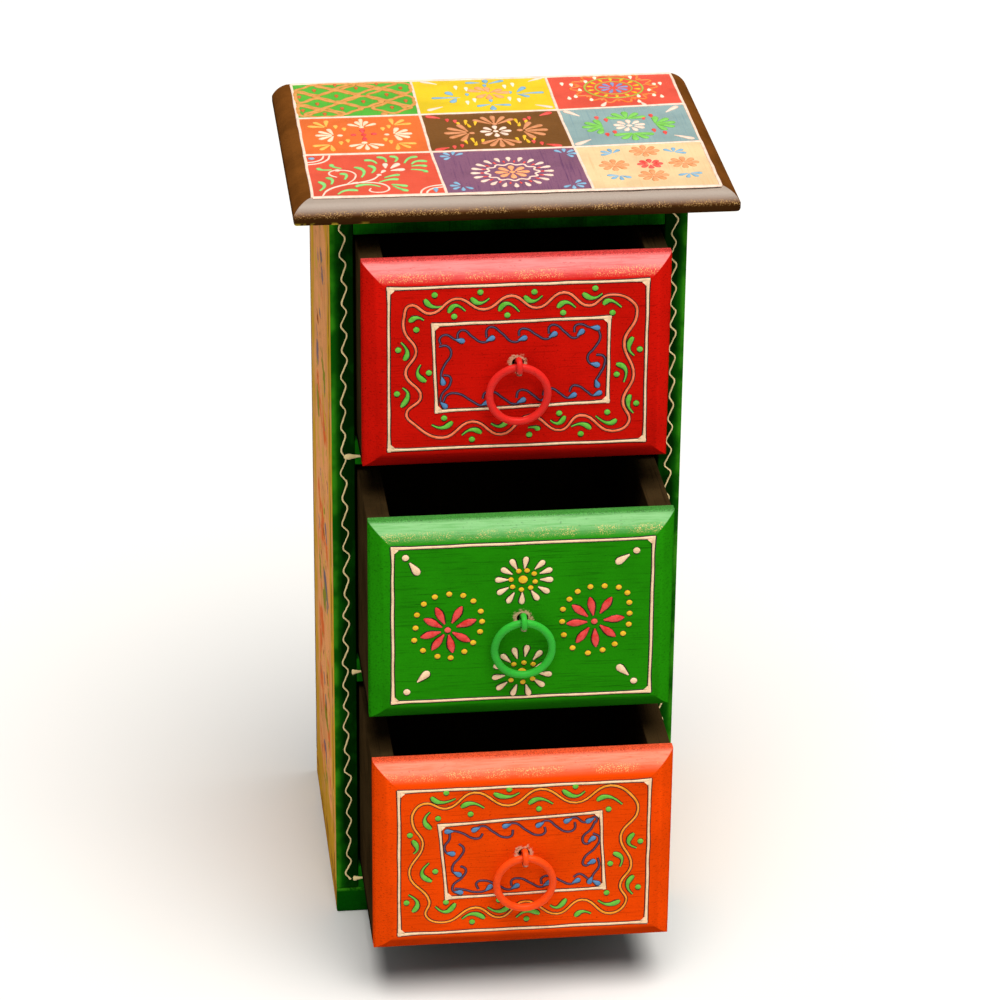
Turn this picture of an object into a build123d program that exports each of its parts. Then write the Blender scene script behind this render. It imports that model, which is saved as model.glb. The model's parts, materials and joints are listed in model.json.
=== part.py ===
"""Painted three-drawer jewellery box.

A pinned carcass of plain boards carries a moulded top and three inset drawers.
Each drawer has a raised front, two sides, a back, a thin bottom and a ring pull
that hangs in the loop of a split pin. Millimetres, +Z up, front toward -Y,
origin in the middle of the underside of the carcass.
"""

import math
import os

from build123d import *

# Carcass boards
carcass_width = 130.0
carcass_depth = 112.0
side_thickness = 8.5
shelf_thickness = 9.5
back_thickness = 4.0
base_height = 10.5
bay_height = 81.5
corner_round = 0.8

# Moulded top board
top_thickness = 8.5
top_overhang = 15.0
top_shift = 1.3
top_bevel_width = 6.0
top_bevel_drop = 4.5
top_bevel_crown = 0.9
top_under_round = 2.0

# Drawer boards
drawer_open = {"bottom": 60.0, "middle": 46.5, "top": 23.5}
front_thickness = 9.0
front_bevel_width = 7.6
front_bevel_drop = 5.5
front_bevel_crown = 0.9
drawer_side_thickness = 8.5
drawer_back_thickness = 8.5
drawer_bottom_thickness = 3.0
drawer_side_drop = 2.0

# Drawer clearances
front_gap = 0.85
side_gap = 0.9
running_gap = 0.3
rear_gap = 0.5

# Ring pull and split pin
ring_diameter = 24.2
ring_wire = 3.1
eye_wire = 1.6
eye_rise = 1.0
eye_slack = 0.45
eye_hole = 4.4
leg_gap = 0.1
neck_radius = 1.0
bend_radius = 1.2
tail_length = 6.0
tail_gap = 0.05
ring_gap = 0.15
wire_sides = 8
ring_steps = 36
loop_steps = 16
bend_steps = 4

# Brads
brad_width = 1.3
brad_thickness = 1.1
brad_head = 2.0
brad_head_height = 1.0
brad_play = 0.05
brad_set = 1.0
carcass_brad = 24.0
back_brad = 16.0
drawer_brad = 20.0
bottom_brad = 14.0
front_brad_set = 3.2
brad_spread_share = 0.3

overrun = 5.0

drawer_names = tuple(drawer_open)
drawer_count = len(drawer_names)
level_count = drawer_count + 1
bay_width = carcass_width - 2 * side_thickness
level_depth = carcass_depth - back_thickness
level_pitch = bay_height + shelf_thickness
side_height = level_count * shelf_thickness + drawer_count * bay_height
carcass_front = -carcass_depth / 2
carcass_back = carcass_depth / 2
level_front = carcass_front
level_middle = carcass_front + level_depth / 2
carcass_top = base_height + side_height


def block(x_low, x_high, y_low, y_high, z_low, z_high):
    """A square-cut board between three pairs of faces."""
    board = Box(x_high - x_low, y_high - y_low, z_high - z_low)
    middle = ((x_low + x_high) / 2, (y_low + y_high) / 2, (z_low + z_high) / 2)
    return Pos(*middle) * board


def raised_section(low, high, thickness, bevel_width, bevel_drop, crown):
    """Outline across a board whose two edges fall away in a crowned bevel."""
    rim = thickness - bevel_drop
    inner_low = low + bevel_width
    inner_high = high - bevel_width
    outline = [
        Line((low, 0), (high, 0)),
        Line((high, 0), (high, rim)),
        SagittaArc((high, rim), (inner_high, thickness), -crown),
        Line((inner_high, thickness), (inner_low, thickness)),
        SagittaArc((inner_low, thickness), (low, rim), -crown),
        Line((low, rim), (low, 0)),
    ]
    return make_face(outline)


def brad(length, play=0.0):
    """A brad that points along +Z, its T head at the origin; play makes its hole."""
    half_head = brad_head / 2 + play
    half_shank = brad_width / 2 + play
    head_end = brad_head_height + play
    right = [
        (half_head, -play),
        (half_head, head_end),
        (half_shank, head_end),
        (half_shank, length - brad_width),
    ]
    left = [(-across, along) for across, along in reversed(right)]
    outline = Polyline(*right, (0, length + play), *left, close=True)
    return extrude(Plane.XZ * make_face(outline), brad_thickness / 2 + play, both=True)


def driven(places, length, play=0.0):
    """Brads of one length, each at a point and along a direction."""
    return [Plane(origin=point, z_dir=way) * brad(length, play) for point, way in places]


def arc_points(centre, radius, start, turn, steps):
    """Points along an arc, both ends among them; angles in degrees."""
    angles = [math.radians(start + turn * step / steps) for step in range(steps + 1)]
    return [
        (centre[0] + radius * math.cos(angle), centre[1] + radius * math.sin(angle))
        for angle in angles
    ]


def bent_wire(path, thickness):
    """Wire of a round section, drawn with flat sides, along a path of short runs."""
    start = Plane(origin=path @ 0, z_dir=path % 0)
    section = start * RegularPolygon(thickness / 2, wire_sides)
    return sweep(section, path=path, transition=Transition.RIGHT)


# Places of the carcass brads: through the sides into the ends of the level boards
level_middles = [
    base_height + shelf_thickness / 2 + level * level_pitch for level in range(level_count)
]
brad_spread = level_depth * brad_spread_share
side_brads = {}
for hand, sign in (("left", -1), ("right", 1)):
    head_x = sign * (carcass_width / 2 - brad_set)
    side_brads[hand] = [
        ((head_x, level_middle + step * brad_spread, height), (-sign, 0, 0))
        for height in level_middles
        for step in (-1, 1)
    ]
level_brads = side_brads["left"] + side_brads["right"]

# Places of the back brads: through the back panel into the edges of the sides
bay_floors = {
    name: base_height + shelf_thickness + bay * level_pitch
    for bay, name in enumerate(drawer_names)
}
edge_x = carcass_width / 2 - side_thickness / 2
back_brads = [
    ((sign * edge_x, carcass_back, floor + bay_height / 2), (0, -1, 0))
    for floor in bay_floors.values()
    for sign in (-1, 1)
]

carcass_holes = driven(level_brads, carcass_brad, brad_play)
back_holes = driven(back_brads, back_brad, brad_play)
nodes = {}

# Base board that the whole box stands on
base_board = block(
    -carcass_width / 2, carcass_width / 2, carcass_front, carcass_back, 0, base_height
)
base_corners = base_board.edges().filter_by(Axis.Z).group_by(Axis.Y)[0]
nodes["base_board"] = fillet(base_corners, corner_round)

# Side boards, standing on the base, their outer front corners sanded round
for hand, sign in (("left", -1), ("right", 1)):
    faces = sorted((sign * carcass_width / 2, sign * bay_width / 2))
    side = block(
        faces[0], faces[1], carcass_front, carcass_front + level_depth, base_height, carcass_top
    )
    uprights = side.edges().filter_by(Axis.Z).group_by(Axis.Y)[0]
    outer_corner = uprights.sort_by(lambda edge: -sign * edge.center().X)[0]
    side = fillet(outer_corner, corner_round)
    nodes[hand + "_side"] = side - carcass_holes - back_holes

# Level boards between the sides: floor, two shelves and the board under the top
level_names = ("bottom_board", "lower_shelf", "upper_shelf", "upper_board")
for name, height in zip(level_names, level_middles):
    level = block(
        -bay_width / 2,
        bay_width / 2,
        level_front,
        level_front + level_depth,
        height - shelf_thickness / 2,
        height + shelf_thickness / 2,
    )
    nodes[name] = level - carcass_holes

# Back panel, pinned over the back edges
back_panel = block(
    -carcass_width / 2,
    carcass_width / 2,
    carcass_back - back_thickness,
    carcass_back,
    base_height,
    carcass_top,
)
nodes["back_panel"] = back_panel - back_holes
nodes["carcass_brads"] = Compound(driven(level_brads, carcass_brad))
nodes["back_brads"] = Compound(driven(back_brads, back_brad))

# Top board: moulded on the front and both ends, cut square at the back
top_left = top_shift - carcass_width / 2 - top_overhang
top_right = top_shift + carcass_width / 2 + top_overhang
top_front = carcass_front - top_overhang
top_moulding = (top_thickness, top_bevel_width, top_bevel_drop, top_bevel_crown)
across = raised_section(top_left, top_right, *top_moulding)
across_plane = Plane(origin=(0, carcass_back, carcass_top), x_dir=(1, 0, 0), z_dir=(0, -1, 0))
along = raised_section(top_front, carcass_back + top_bevel_width + overrun, *top_moulding)
along_plane = Plane(
    origin=(top_left - overrun, 0, carcass_top), x_dir=(0, 1, 0), z_dir=(1, 0, 0)
)
top_board = extrude(across_plane * across, carcass_back - top_front)
top_board = top_board & extrude(along_plane * along, top_right - top_left + 2 * overrun)
under_edges = top_board.faces().sort_by(Axis.Z)[0].edges().sort_by(Axis.Y)[:-1]
nodes["top_board"] = fillet(under_edges, top_under_round)

# Drawer sizes, shared by the three drawers: y runs from the rim of the front
front_width = bay_width - 2 * side_gap
front_low = front_gap
front_high = bay_height - front_gap
rim_thickness = front_thickness - front_bevel_drop
box_back = level_depth - rear_gap
box_low = running_gap
board_low = running_gap + drawer_bottom_thickness
board_high = front_high - drawer_side_drop
inner_half = front_width / 2 - drawer_side_thickness
board_middle = (board_low + board_high) / 2
board_spread = (board_high - board_low) * brad_spread_share
box_middle = (rim_thickness + box_back) / 2
box_spread = (box_back - rim_thickness) * brad_spread_share
side_middle = front_width / 2 - drawer_side_thickness / 2
eye_height = bay_height / 2 + eye_rise

# Brad places of one drawer
front_head = front_brad_set - front_bevel_drop
rear_head = front_width / 2 - brad_set
rear_middle = box_back - drawer_back_thickness / 2
front_brads = [
    ((sign * side_middle, front_head, board_middle + step * board_spread), (0, 1, 0))
    for sign in (-1, 1)
    for step in (-1, 1)
]
rear_brads = [
    ((sign * rear_head, rear_middle, board_middle + step * board_spread), (-sign, 0, 0))
    for sign in (-1, 1)
    for step in (-1, 1)
]
floor_brads = [
    ((sign * side_middle, box_middle + step * box_spread, box_low), (0, 0, 1))
    for sign in (-1, 1)
    for step in (-1, 1)
]
drawer_holes = (
    driven(front_brads, drawer_brad, brad_play)
    + driven(rear_brads, drawer_brad, brad_play)
    + driven(floor_brads, bottom_brad, brad_play)
)

# Raised front of one drawer, its bevels meeting in mitres, bored for the split pin
front_moulding = (front_thickness, front_bevel_width, front_bevel_drop, front_bevel_crown)
flat = raised_section(-front_width / 2, front_width / 2, *front_moulding)
flat_plane = Plane(origin=(0, rim_thickness, front_high), x_dir=(1, 0, 0), z_dir=(0, 0, -1))
upright = raised_section(front_low, front_high, *front_moulding)
upright_plane = Plane(
    origin=(-front_width / 2, rim_thickness, 0), x_dir=(0, 0, 1), z_dir=(1, 0, 0)
)
drawer_front = extrude(flat_plane * flat, front_high - front_low)
drawer_front = drawer_front & extrude(upright_plane * upright, front_width)
eye_plane = Plane(
    origin=(0, -front_bevel_drop, eye_height), x_dir=(0, -1, 0), z_dir=(-1, 0, 0)
)
bore = Cylinder(eye_hole / 2, front_thickness + 2 * overrun, rotation=(90, 0, 0))
bore = Pos(0, rim_thickness - front_thickness / 2, eye_height) * bore
drawer_front = drawer_front - bore - drawer_holes

# Plain boards of one drawer
drawer_left = block(
    -front_width / 2, -inner_half, rim_thickness, box_back, board_low, board_high
)
drawer_right = block(
    inner_half, front_width / 2, rim_thickness, box_back, board_low, board_high
)
drawer_back = block(
    -inner_half, inner_half, box_back - drawer_back_thickness, box_back, board_low, board_high
)
drawer_bottom = block(
    -front_width / 2, front_width / 2, rim_thickness, box_back, box_low, board_low
)

# Split pin of one drawer: x of its plane runs out from the face, y runs up
leg_height = (eye_wire + leg_gap) / 2
loop_radius = ring_wire / 2 + eye_slack + eye_wire / 2
neck_rise = leg_height + neck_radius
loop_reach = math.sqrt((loop_radius + neck_radius) ** 2 - neck_rise**2)
neck_turn = math.degrees(math.atan2(loop_reach, neck_rise))
tail_line = -front_thickness - eye_wire / 2 - tail_gap
bend_line = tail_line + bend_radius
bend_rise = leg_height + bend_radius
tail_end = bend_rise + tail_length
upper_neck = arc_points((0, neck_rise), neck_radius, -90, neck_turn, bend_steps)
lower_neck = arc_points((0, -neck_rise), neck_radius, 90 - neck_turn, neck_turn, bend_steps)
pin_points = [
    (tail_line, tail_end),
    *arc_points((bend_line, bend_rise), bend_radius, 180, 90, bend_steps),
    *upper_neck[:-1],
    *arc_points((loop_reach, 0), loop_radius, 90 + neck_turn, -180 - 2 * neck_turn, loop_steps),
    *lower_neck[1:],
    *arc_points((bend_line, -bend_rise), bend_radius, 90, 90, bend_steps),
    (tail_line, -tail_end),
]
split_pin = eye_plane * bent_wire(Polyline(*pin_points), eye_wire)

# Ring of one drawer, hanging on the lower inside of the loop
ring_radius = (ring_diameter - ring_wire) / 2
hang_drop = eye_slack - ring_gap
ring_hinge = (0, -front_bevel_drop - loop_reach, eye_height - hang_drop)
ring_points = arc_points((0, ring_hinge[2] - ring_radius), ring_radius, 0, 360, ring_steps)
ring_start = tuple((first + last) / 2 for first, last in zip(ring_points[0], ring_points[-2]))
ring_plane = Plane(origin=(0, ring_hinge[1], 0), x_dir=(1, 0, 0), z_dir=(0, -1, 0))
ring = ring_plane * bent_wire(Polyline(ring_start, *ring_points[:-1], close=True), ring_wire)

# The three drawers, each pulled out as far as it stands in its bay
drawer_nodes = {
    "front": drawer_front,
    "left_side": drawer_left - drawer_holes,
    "right_side": drawer_right - drawer_holes,
    "back": drawer_back - drawer_holes,
    "bottom": drawer_bottom - drawer_holes,
    "brads": Compound(
        driven(front_brads + rear_brads, drawer_brad) + driven(floor_brads, bottom_brad)
    ),
    "split_pin": split_pin,
    "ring": ring,
}
for name in drawer_names:
    place = Pos(0, carcass_front - drawer_open[name], bay_floors[name])
    for piece, shape in drawer_nodes.items():
        nodes[name + "_drawer_" + piece] = place * shape

os.makedirs("parts", exist_ok=True)
for name, shape in nodes.items():
    shape.label = name
    export_step(shape, os.path.join("parts", name + ".step"))
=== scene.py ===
"""Finish of a painted three-drawer jewellery box, laid over its packed construction.

Metres, +Z up, front toward -Y. Every board keeps the place that the frame gives it;
here it gets rubbed edges, brushed paint, raised lines of piped paint and its pulls.
"""

import json
import math
import random

import bpy
from mathutils import Matrix, Vector

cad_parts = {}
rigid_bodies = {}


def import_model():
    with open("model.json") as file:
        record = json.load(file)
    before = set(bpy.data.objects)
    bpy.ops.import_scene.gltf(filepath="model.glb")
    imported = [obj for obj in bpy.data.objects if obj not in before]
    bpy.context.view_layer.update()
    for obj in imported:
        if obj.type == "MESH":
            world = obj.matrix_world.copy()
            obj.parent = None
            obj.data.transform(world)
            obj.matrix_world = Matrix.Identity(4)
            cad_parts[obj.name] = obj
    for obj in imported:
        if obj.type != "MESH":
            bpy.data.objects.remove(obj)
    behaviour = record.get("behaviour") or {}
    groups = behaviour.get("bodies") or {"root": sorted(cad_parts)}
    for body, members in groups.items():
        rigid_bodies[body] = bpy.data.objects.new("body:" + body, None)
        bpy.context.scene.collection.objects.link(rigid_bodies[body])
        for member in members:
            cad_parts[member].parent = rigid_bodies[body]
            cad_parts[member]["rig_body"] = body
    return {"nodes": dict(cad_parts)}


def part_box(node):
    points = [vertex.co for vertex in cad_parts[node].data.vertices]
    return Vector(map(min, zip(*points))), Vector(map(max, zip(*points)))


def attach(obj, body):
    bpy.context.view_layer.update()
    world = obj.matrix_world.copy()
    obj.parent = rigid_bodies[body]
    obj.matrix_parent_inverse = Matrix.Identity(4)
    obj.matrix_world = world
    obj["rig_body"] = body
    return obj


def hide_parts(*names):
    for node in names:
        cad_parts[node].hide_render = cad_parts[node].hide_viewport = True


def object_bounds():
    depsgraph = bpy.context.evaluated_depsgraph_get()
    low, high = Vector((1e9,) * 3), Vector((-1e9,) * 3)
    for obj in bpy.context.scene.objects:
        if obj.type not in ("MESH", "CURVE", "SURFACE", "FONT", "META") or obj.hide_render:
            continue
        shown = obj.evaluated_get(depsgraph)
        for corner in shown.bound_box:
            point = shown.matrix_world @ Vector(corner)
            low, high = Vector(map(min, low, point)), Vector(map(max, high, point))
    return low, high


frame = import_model()
nodes = frame["nodes"]
cad_low, cad_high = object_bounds()
mm = 0.001
hand = random.Random(7)

# Base board and the four level boards: plain softwood, butt-jointed between the sides and pinned
# through them. The front edges are brushed dark green by hand; deeper in the bays is painted shade,
# the top edge of the base has a painted highlight and its ends got the side paint.


def paint(red, green, blue):
    """A paint mixed on the 0-255 scale, as light values."""
    shares = [part / 255 for part in (red, green, blue)]
    light = [
        share / 12.92 if share <= 0.04045 else ((share + 0.055) / 1.055) ** 2.4
        for share in shares
    ]
    return (*light, 1.0)


def add(tree, kind, feeds=None, **settings):
    """One shader node; feeds go into its sockets as plain values or as links."""
    made = tree.nodes.new("ShaderNode" + kind)
    for key, value in settings.items():
        setattr(made, key, value)
    for key, value in (feeds or {}).items():
        if isinstance(value, bpy.types.NodeSocket):
            tree.links.new(value, made.inputs[key])
        else:
            made.inputs[key].default_value = value
    return made


def noise(tree, place, per_metre, detail=3.0):
    """Noise with so many features per metre along x, y and z, or the same along all three."""
    scale = per_metre if isinstance(per_metre, tuple) else (per_metre,) * 3
    mapped = add(tree, "Mapping", {"Vector": place, "Scale": scale})
    feeds = {"Vector": mapped.outputs[0], "Scale": 1.0, "Detail": detail, "Roughness": 0.6}
    return add(tree, "TexNoise", feeds).outputs[0]


def between(tree, value, low, high):
    """0 below low, 1 above high and an even slope between; turned round if low is the larger."""
    feeds = {0: value, 1: min(low, high), 2: max(low, high)}
    feeds.update({3: 0.0, 4: 1.0} if low < high else {3: 1.0, 4: 0.0})
    return add(tree, "MapRange", feeds, interpolation_type="SMOOTHSTEP").outputs[0]


def work(tree, operation, *values):
    """One step of arithmetic on values or links."""
    return add(tree, "Math", dict(enumerate(values)), operation=operation).outputs[0]


def both(tree, mask, share):
    """Where two masks overlap, or one mask made fainter."""
    return work(tree, "MULTIPLY", mask, share)


def cover(tree, under, over, mask):
    """One paint laid over another where the mask says."""
    return add(tree, "Mix", {0: mask, 6: under, 7: over}, data_type="RGBA").outputs[2]


streak_stretch = {"x": (60, 1400, 2000), "y": (1400, 36, 2000), "z": (1400, 1800, 36)}


def brushed_paint(
    name, ground, along, streak, streak_share, patch=0.75, gloss=0.42, relief=0.3, sheen=0.12
):
    """Paint brushed over wood: streaks along the grain, thin and thick patches, fine specks."""
    material = bpy.data.materials.new(name)
    material.use_nodes = True
    tree = material.node_tree
    shader = tree.nodes["Principled BSDF"]
    place = add(tree, "TexCoord").outputs["Object"]
    thin = tuple(patch * part for part in ground[:3]) + (1.0,)
    grain = noise(tree, place, streak_stretch[along], 4.0)
    cloud = noise(tree, place, 55, 4.0)
    grit = noise(tree, place, 1500, 2.0)
    colour = cover(tree, ground, thin, between(tree, cloud, 0.38, 0.68))
    lines = both(tree, between(tree, grain, 0.52, 0.74), 0.75 * streak_share)
    colour = cover(tree, colour, streak, lines)
    specks = both(tree, between(tree, grit, 0.64, 0.72), 0.8 * streak_share)
    colour = cover(tree, colour, streak, specks)
    tree.links.new(colour, shader.inputs["Base Color"])
    rough = work(tree, "MULTIPLY_ADD", cloud, 0.22, gloss - 0.11)
    tree.links.new(rough, shader.inputs["Roughness"])
    shader.inputs["Specular IOR Level"].default_value = sheen
    height = work(tree, "MULTIPLY_ADD", grain, 0.7, grit)
    bump = add(tree, "Bump", {"Strength": relief, "Distance": 0.0004, "Height": height})
    tree.links.new(bump.outputs[0], shader.inputs["Normal"])
    return material, tree, shader, place, colour


def axis_of(tree, place, axis):
    """One of the three coordinates of the place on the piece."""
    return add(tree, "SeparateXYZ", {0: place}).outputs[axis.upper()]


def finished(piece, name, node, material):
    """Names a piece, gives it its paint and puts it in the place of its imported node."""
    piece.name = name
    piece.data.materials.clear()
    piece.data.materials.append(material)
    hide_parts(node)
    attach(piece, nodes[node]["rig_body"])
    return piece


def block(low, high):
    """A plain block between two corners."""
    bpy.ops.object.select_all(action="DESELECT")
    bpy.ops.mesh.primitive_cube_add(size=1, location=(low + high) / 2)
    piece = bpy.context.object
    piece.scale = high - low
    bpy.ops.object.transform_apply(location=True, rotation=False, scale=True)
    return piece


def sawn_board(node, rub):
    """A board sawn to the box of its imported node, its edges rubbed round."""
    piece = block(*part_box(node))
    bpy.ops.object.mode_set(mode="EDIT")
    bpy.ops.mesh.select_all(action="SELECT")
    bpy.ops.mesh.bevel(offset=rub, segments=3, profile=0.6, affect="EDGES")
    bpy.ops.object.mode_set(mode="OBJECT")
    bpy.ops.object.shade_smooth_by_angle(angle=math.radians(35))
    return piece


carcass_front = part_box("left_side")[0].y
frame_rub = 0.5 * mm
board_rub = 0.8 * mm
green_depth = 7 * mm
green_ground = paint(22, 112, 12)
green_shade = paint(6, 42, 4)
painted_bay_shade = paint(14, 12, 5)
painted_edge_highlight = paint(62, 150, 26)

frame_green, tree, shader, place, green = brushed_paint(
    "frame_green", green_ground, "z", green_shade, 0.75, patch=0.4, gloss=0.4, sheen=0.0
)
# Painted shade: deeper in the bays than the green edge, the boards are painted near-black.
deep = between(
    tree, axis_of(tree, place, "y"), carcass_front + 0.3 * green_depth, carcass_front + green_depth
)
tree.links.new(cover(tree, green, painted_bay_shade, deep), shader.inputs["Base Color"])

level_boards = ("bottom_board", "lower_shelf", "upper_shelf", "upper_board")
for node in level_boards:
    finished(sawn_board(node, frame_rub), node + "_painted", node, frame_green)

plinth_green, tree, shader, place, green = brushed_paint(
    "plinth_green", paint(8, 80, 6), "x", green_shade, 0.75, patch=0.45, gloss=0.4, sheen=0.0
)
plinth_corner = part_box("base_board")[1]
plinth_z = axis_of(tree, place, "z")
# Painted highlight: a brighter green line in patches along the top edge of the base.
highlight_line = between(tree, plinth_z, plinth_corner.z - 1.6 * mm, plinth_corner.z - 0.4 * mm)
highlight_line = both(tree, highlight_line, between(tree, noise(tree, place, 300), 0.42, 0.6))
green = cover(tree, green, painted_edge_highlight, highlight_line)
ochre = paint(208, 158, 50)
ochre_thin = paint(168, 116, 44)
across = work(tree, "ABSOLUTE", axis_of(tree, place, "x"))
ends = between(tree, across, plinth_corner.x - 0.7 * mm, plinth_corner.x - 0.3 * mm)
plinth_y = axis_of(tree, place, "y")
ends = both(tree, ends, between(tree, plinth_y, carcass_front + 0.6 * mm, carcass_front + 1.4 * mm))
thick = between(tree, noise(tree, place, (60, 60, 90), 4.0), 0.42, 0.6)
end_paint = cover(tree, ochre_thin, ochre, thick)
tree.links.new(cover(tree, green, end_paint, ends), shader.inputs["Base Color"])
plinth = sawn_board("base_board", board_rub)
finished(plinth, "base_board_painted", "base_board", plinth_green)

# Side boards: softwood planks standing on the base. Their front edges carry the green of
# the frame, with a painted highlight at the outer edge and painted shade toward the bays; their
# outer faces are salmon pink inside a rubbed ochre border, with worn dabs
# of orange, green, blue and brown in the middle and gold specks toward the front.
side_ground = paint(242, 168, 108)
side_streak = paint(156, 86, 44)
speck_gold = paint(238, 172, 40)
scratch_brown = paint(112, 70, 28)
dabs = (
    (paint(224, 104, 52), (60, 24, 38), 0.545, 0.6, 23),
    (paint(214, 170, 74), (60, 32, 50), 0.57, 0.62, 31),
    (paint(132, 140, 44), (60, 36, 58), 0.58, 0.62, 11),
    (paint(112, 104, 118), (60, 36, 62), 0.6, 0.64, 3),
    (paint(140, 62, 28), (60, 40, 66), 0.61, 0.65, 47),
)
side_salmon, tree, shader, place, salmon = brushed_paint(
    "side_salmon", side_ground, "z", side_streak, 0.6, patch=0.82, gloss=0.5, relief=0.5, sheen=0.0
)
y = axis_of(tree, place, "y")
z = axis_of(tree, place, "z")
side_low, side_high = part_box("left_side")
outer_x = -side_low.x
inset = work(tree, "SUBTRACT", y, side_low.y)
inset = work(tree, "MINIMUM", inset, work(tree, "SUBTRACT", side_high.y, y))
field = between(tree, inset, 20 * mm, 34 * mm)
for tint, stretch, low, high, shift in dabs:
    moved = add(tree, "VectorMath", {0: place, 1: (shift, shift, shift)}, operation="ADD").outputs[0]
    dab = both(tree, between(tree, noise(tree, moved, stretch, 5.0), low, high), field)
    salmon = cover(tree, salmon, tint, both(tree, dab, 0.9))
border = work(tree, "MINIMUM", inset, work(tree, "SUBTRACT", z, side_low.z))
border = work(tree, "MINIMUM", border, work(tree, "SUBTRACT", side_high.z, z))
wavering = work(tree, "MULTIPLY_ADD", noise(tree, place, 40, 4.0), 16 * mm, border)
border = between(tree, wavering, 31 * mm, 23 * mm)
border = both(tree, border, between(tree, noise(tree, place, (200, 70, 40)), 0.3, 0.56))
salmon = cover(tree, salmon, ochre, border)
specks = between(tree, noise(tree, place, (60, 380, 300), 2.0), 0.6, 0.66)
specks = both(tree, specks, between(tree, y, carcass_front + 44 * mm, carcass_front + 14 * mm))
salmon = cover(tree, salmon, speck_gold, specks)
scratch = work(tree, "ABSOLUTE", work(tree, "SUBTRACT", y, carcass_front + 11 * mm))
scratch = between(tree, scratch, 2.4 * mm, 0.9 * mm)
scratch = both(tree, scratch, between(tree, noise(tree, place, (200, 90, 60)), 0.42, 0.5))
salmon = cover(tree, salmon, scratch_brown, both(tree, scratch, 0.8))
cloud = noise(tree, place, (70, 70, 55))
x = work(tree, "ABSOLUTE", axis_of(tree, place, "x"))
# Painted shade: the green front edge is painted darker toward the bay, and in random patches.
shade = both(tree, between(tree, x, outer_x - 0.4 * mm, outer_x - 4.8 * mm), 0.8)
shade = work(tree, "MULTIPLY_ADD", between(tree, cloud, 0.36, 0.62), 0.45, shade)
green = cover(tree, green_ground, green_shade, shade)
# Painted highlight: brighter green along the outer edge of the green front edge.
edge_highlight = between(tree, x, outer_x - 2.4 * mm, outer_x - 0.6 * mm)
edge_highlight = both(tree, edge_highlight, between(tree, cloud, 0.62, 0.4))
green = cover(tree, green, painted_edge_highlight, both(tree, edge_highlight, 0.8))
outer = between(tree, x, outer_x - 0.7 * mm, outer_x - 0.2 * mm)
front_edge = between(tree, y, carcass_front + 1.6 * mm, carcass_front + 0.7 * mm)
# Painted shade: the inner face is painted near-black away from the front edge.
inner = cover(tree, green, painted_bay_shade, between(tree, y, carcass_front + 2 * mm, carcass_front + 9 * mm))
side = cover(tree, inner, salmon, outer)
tree.links.new(cover(tree, side, green, front_edge), shader.inputs["Base Color"])
for node in ("left_side", "right_side"):
    finished(sawn_board(node, board_rub), node + "_painted", node, side_salmon)

# Raised line down both side edges: thick cream paint squeezed from a cone in one wavering
# pull, with a short dab on each level board at both ends. The paint stands up from the
# wood, rounds itself while wet, and keeps a dark rim of glaze along its foot.
cream = paint(250, 214, 174)
line_height = 0.36
line_foot = -0.04
line_round = 0.96
wash_height = 0.05
ruled_step = 7
ruled_waver = 0.1


def around(x, y, reach, turn):
    """The point so far from a middle at a turn in degrees."""
    return x + reach * math.cos(math.radians(turn)), y + reach * math.sin(math.radians(turn))


def dot(x, y, width):
    """A round dab."""
    half = width / 2
    reach = [-0.96, -0.7, -0.25, 0.25, 0.7, 0.96]
    points = [(x + half * part, y) for part in reach]
    return points, [width * math.sqrt(1 - part * part) for part in reach], False, 1


def drop(x, y, length, width, heading):
    """A teardrop about its middle: a half-round fat end toward the heading, then a thin tail."""
    head = max(length - width / 2, 0.5 * length)
    along = [0, 0.2 * head, 0.45 * head, 0.72 * head, head]
    fat = [0.2, 0.38, 0.62, 0.88, 1.0]
    for turn in (35, 60, 80):
        along.append(head + (length - head) * math.sin(math.radians(turn)))
        fat.append(math.cos(math.radians(turn)))
    points = [around(x, y, run - length / 2, heading) for run in along]
    return points, [width * share for share in fat], False, 1


def fan(x, y, heading, spread, count, length, width, reach=0.0):
    """Teardrops that spread from one point, fat ends outward; reach leaves the point free."""
    turns = [heading + spread * (step / max(count - 1, 1) - 0.5) for step in range(count)]
    middle = reach + length / 2
    return [drop(*around(x, y, middle, turn), length, width, turn) for turn in turns]


def daisy(x, y, count, length, width, reach, start=90.0):
    """A full round of teardrops."""
    return fan(x, y, start + 180 - 180 / count, 360 - 360 / count, count, length, width, reach)


def pull(points, width, ends=0.6, closed=False):
    """One steady pull of the cone through the points, a little thick and thin."""
    widths = [width * hand.uniform(0.86, 1.14) for _ in points]
    if not closed:
        widths[0] *= ends
        widths[-1] *= ends
    return points, widths, closed, 7


def ruled(start, end, width):
    """A straight line drawn by hand, whose points waver a little."""
    count = max(2, round(math.dist(start, end) / ruled_step))
    points = []
    for step in range(count + 1):
        line = [a + (b - a) * step / count for a, b in zip(start, end)]
        points.append(tuple(at + hand.uniform(-ruled_waver, ruled_waver) for at in line))
    return pull(points, width, ends=1.0)


def comma(head, middle, tail, fat, thin=0.55):
    """A leaf in one curved stroke, from a round fat head to a thin tail."""
    bend = tuple(2 * m - (h + t) / 2 for h, m, t in zip(head, middle, tail))
    points = []
    for share in (0, 0.1, 0.25, 0.45, 0.7, 1):
        points.append(
            tuple(
                (1 - share) ** 2 * h + 2 * share * (1 - share) * b + share**2 * t
                for h, b, t in zip(head, bend, tail)
            )
        )
    return points, [0.45 * fat, 0.9 * fat, fat, 0.72 * fat, 1.6 * thin, thin], False, 3


def pick(*pieces):
    """Selects these pieces alone and makes the first one active."""
    bpy.ops.object.select_all(action="DESELECT")
    for piece in pieces:
        piece.select_set(True)
    bpy.context.view_layer.objects.active = pieces[0]


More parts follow.
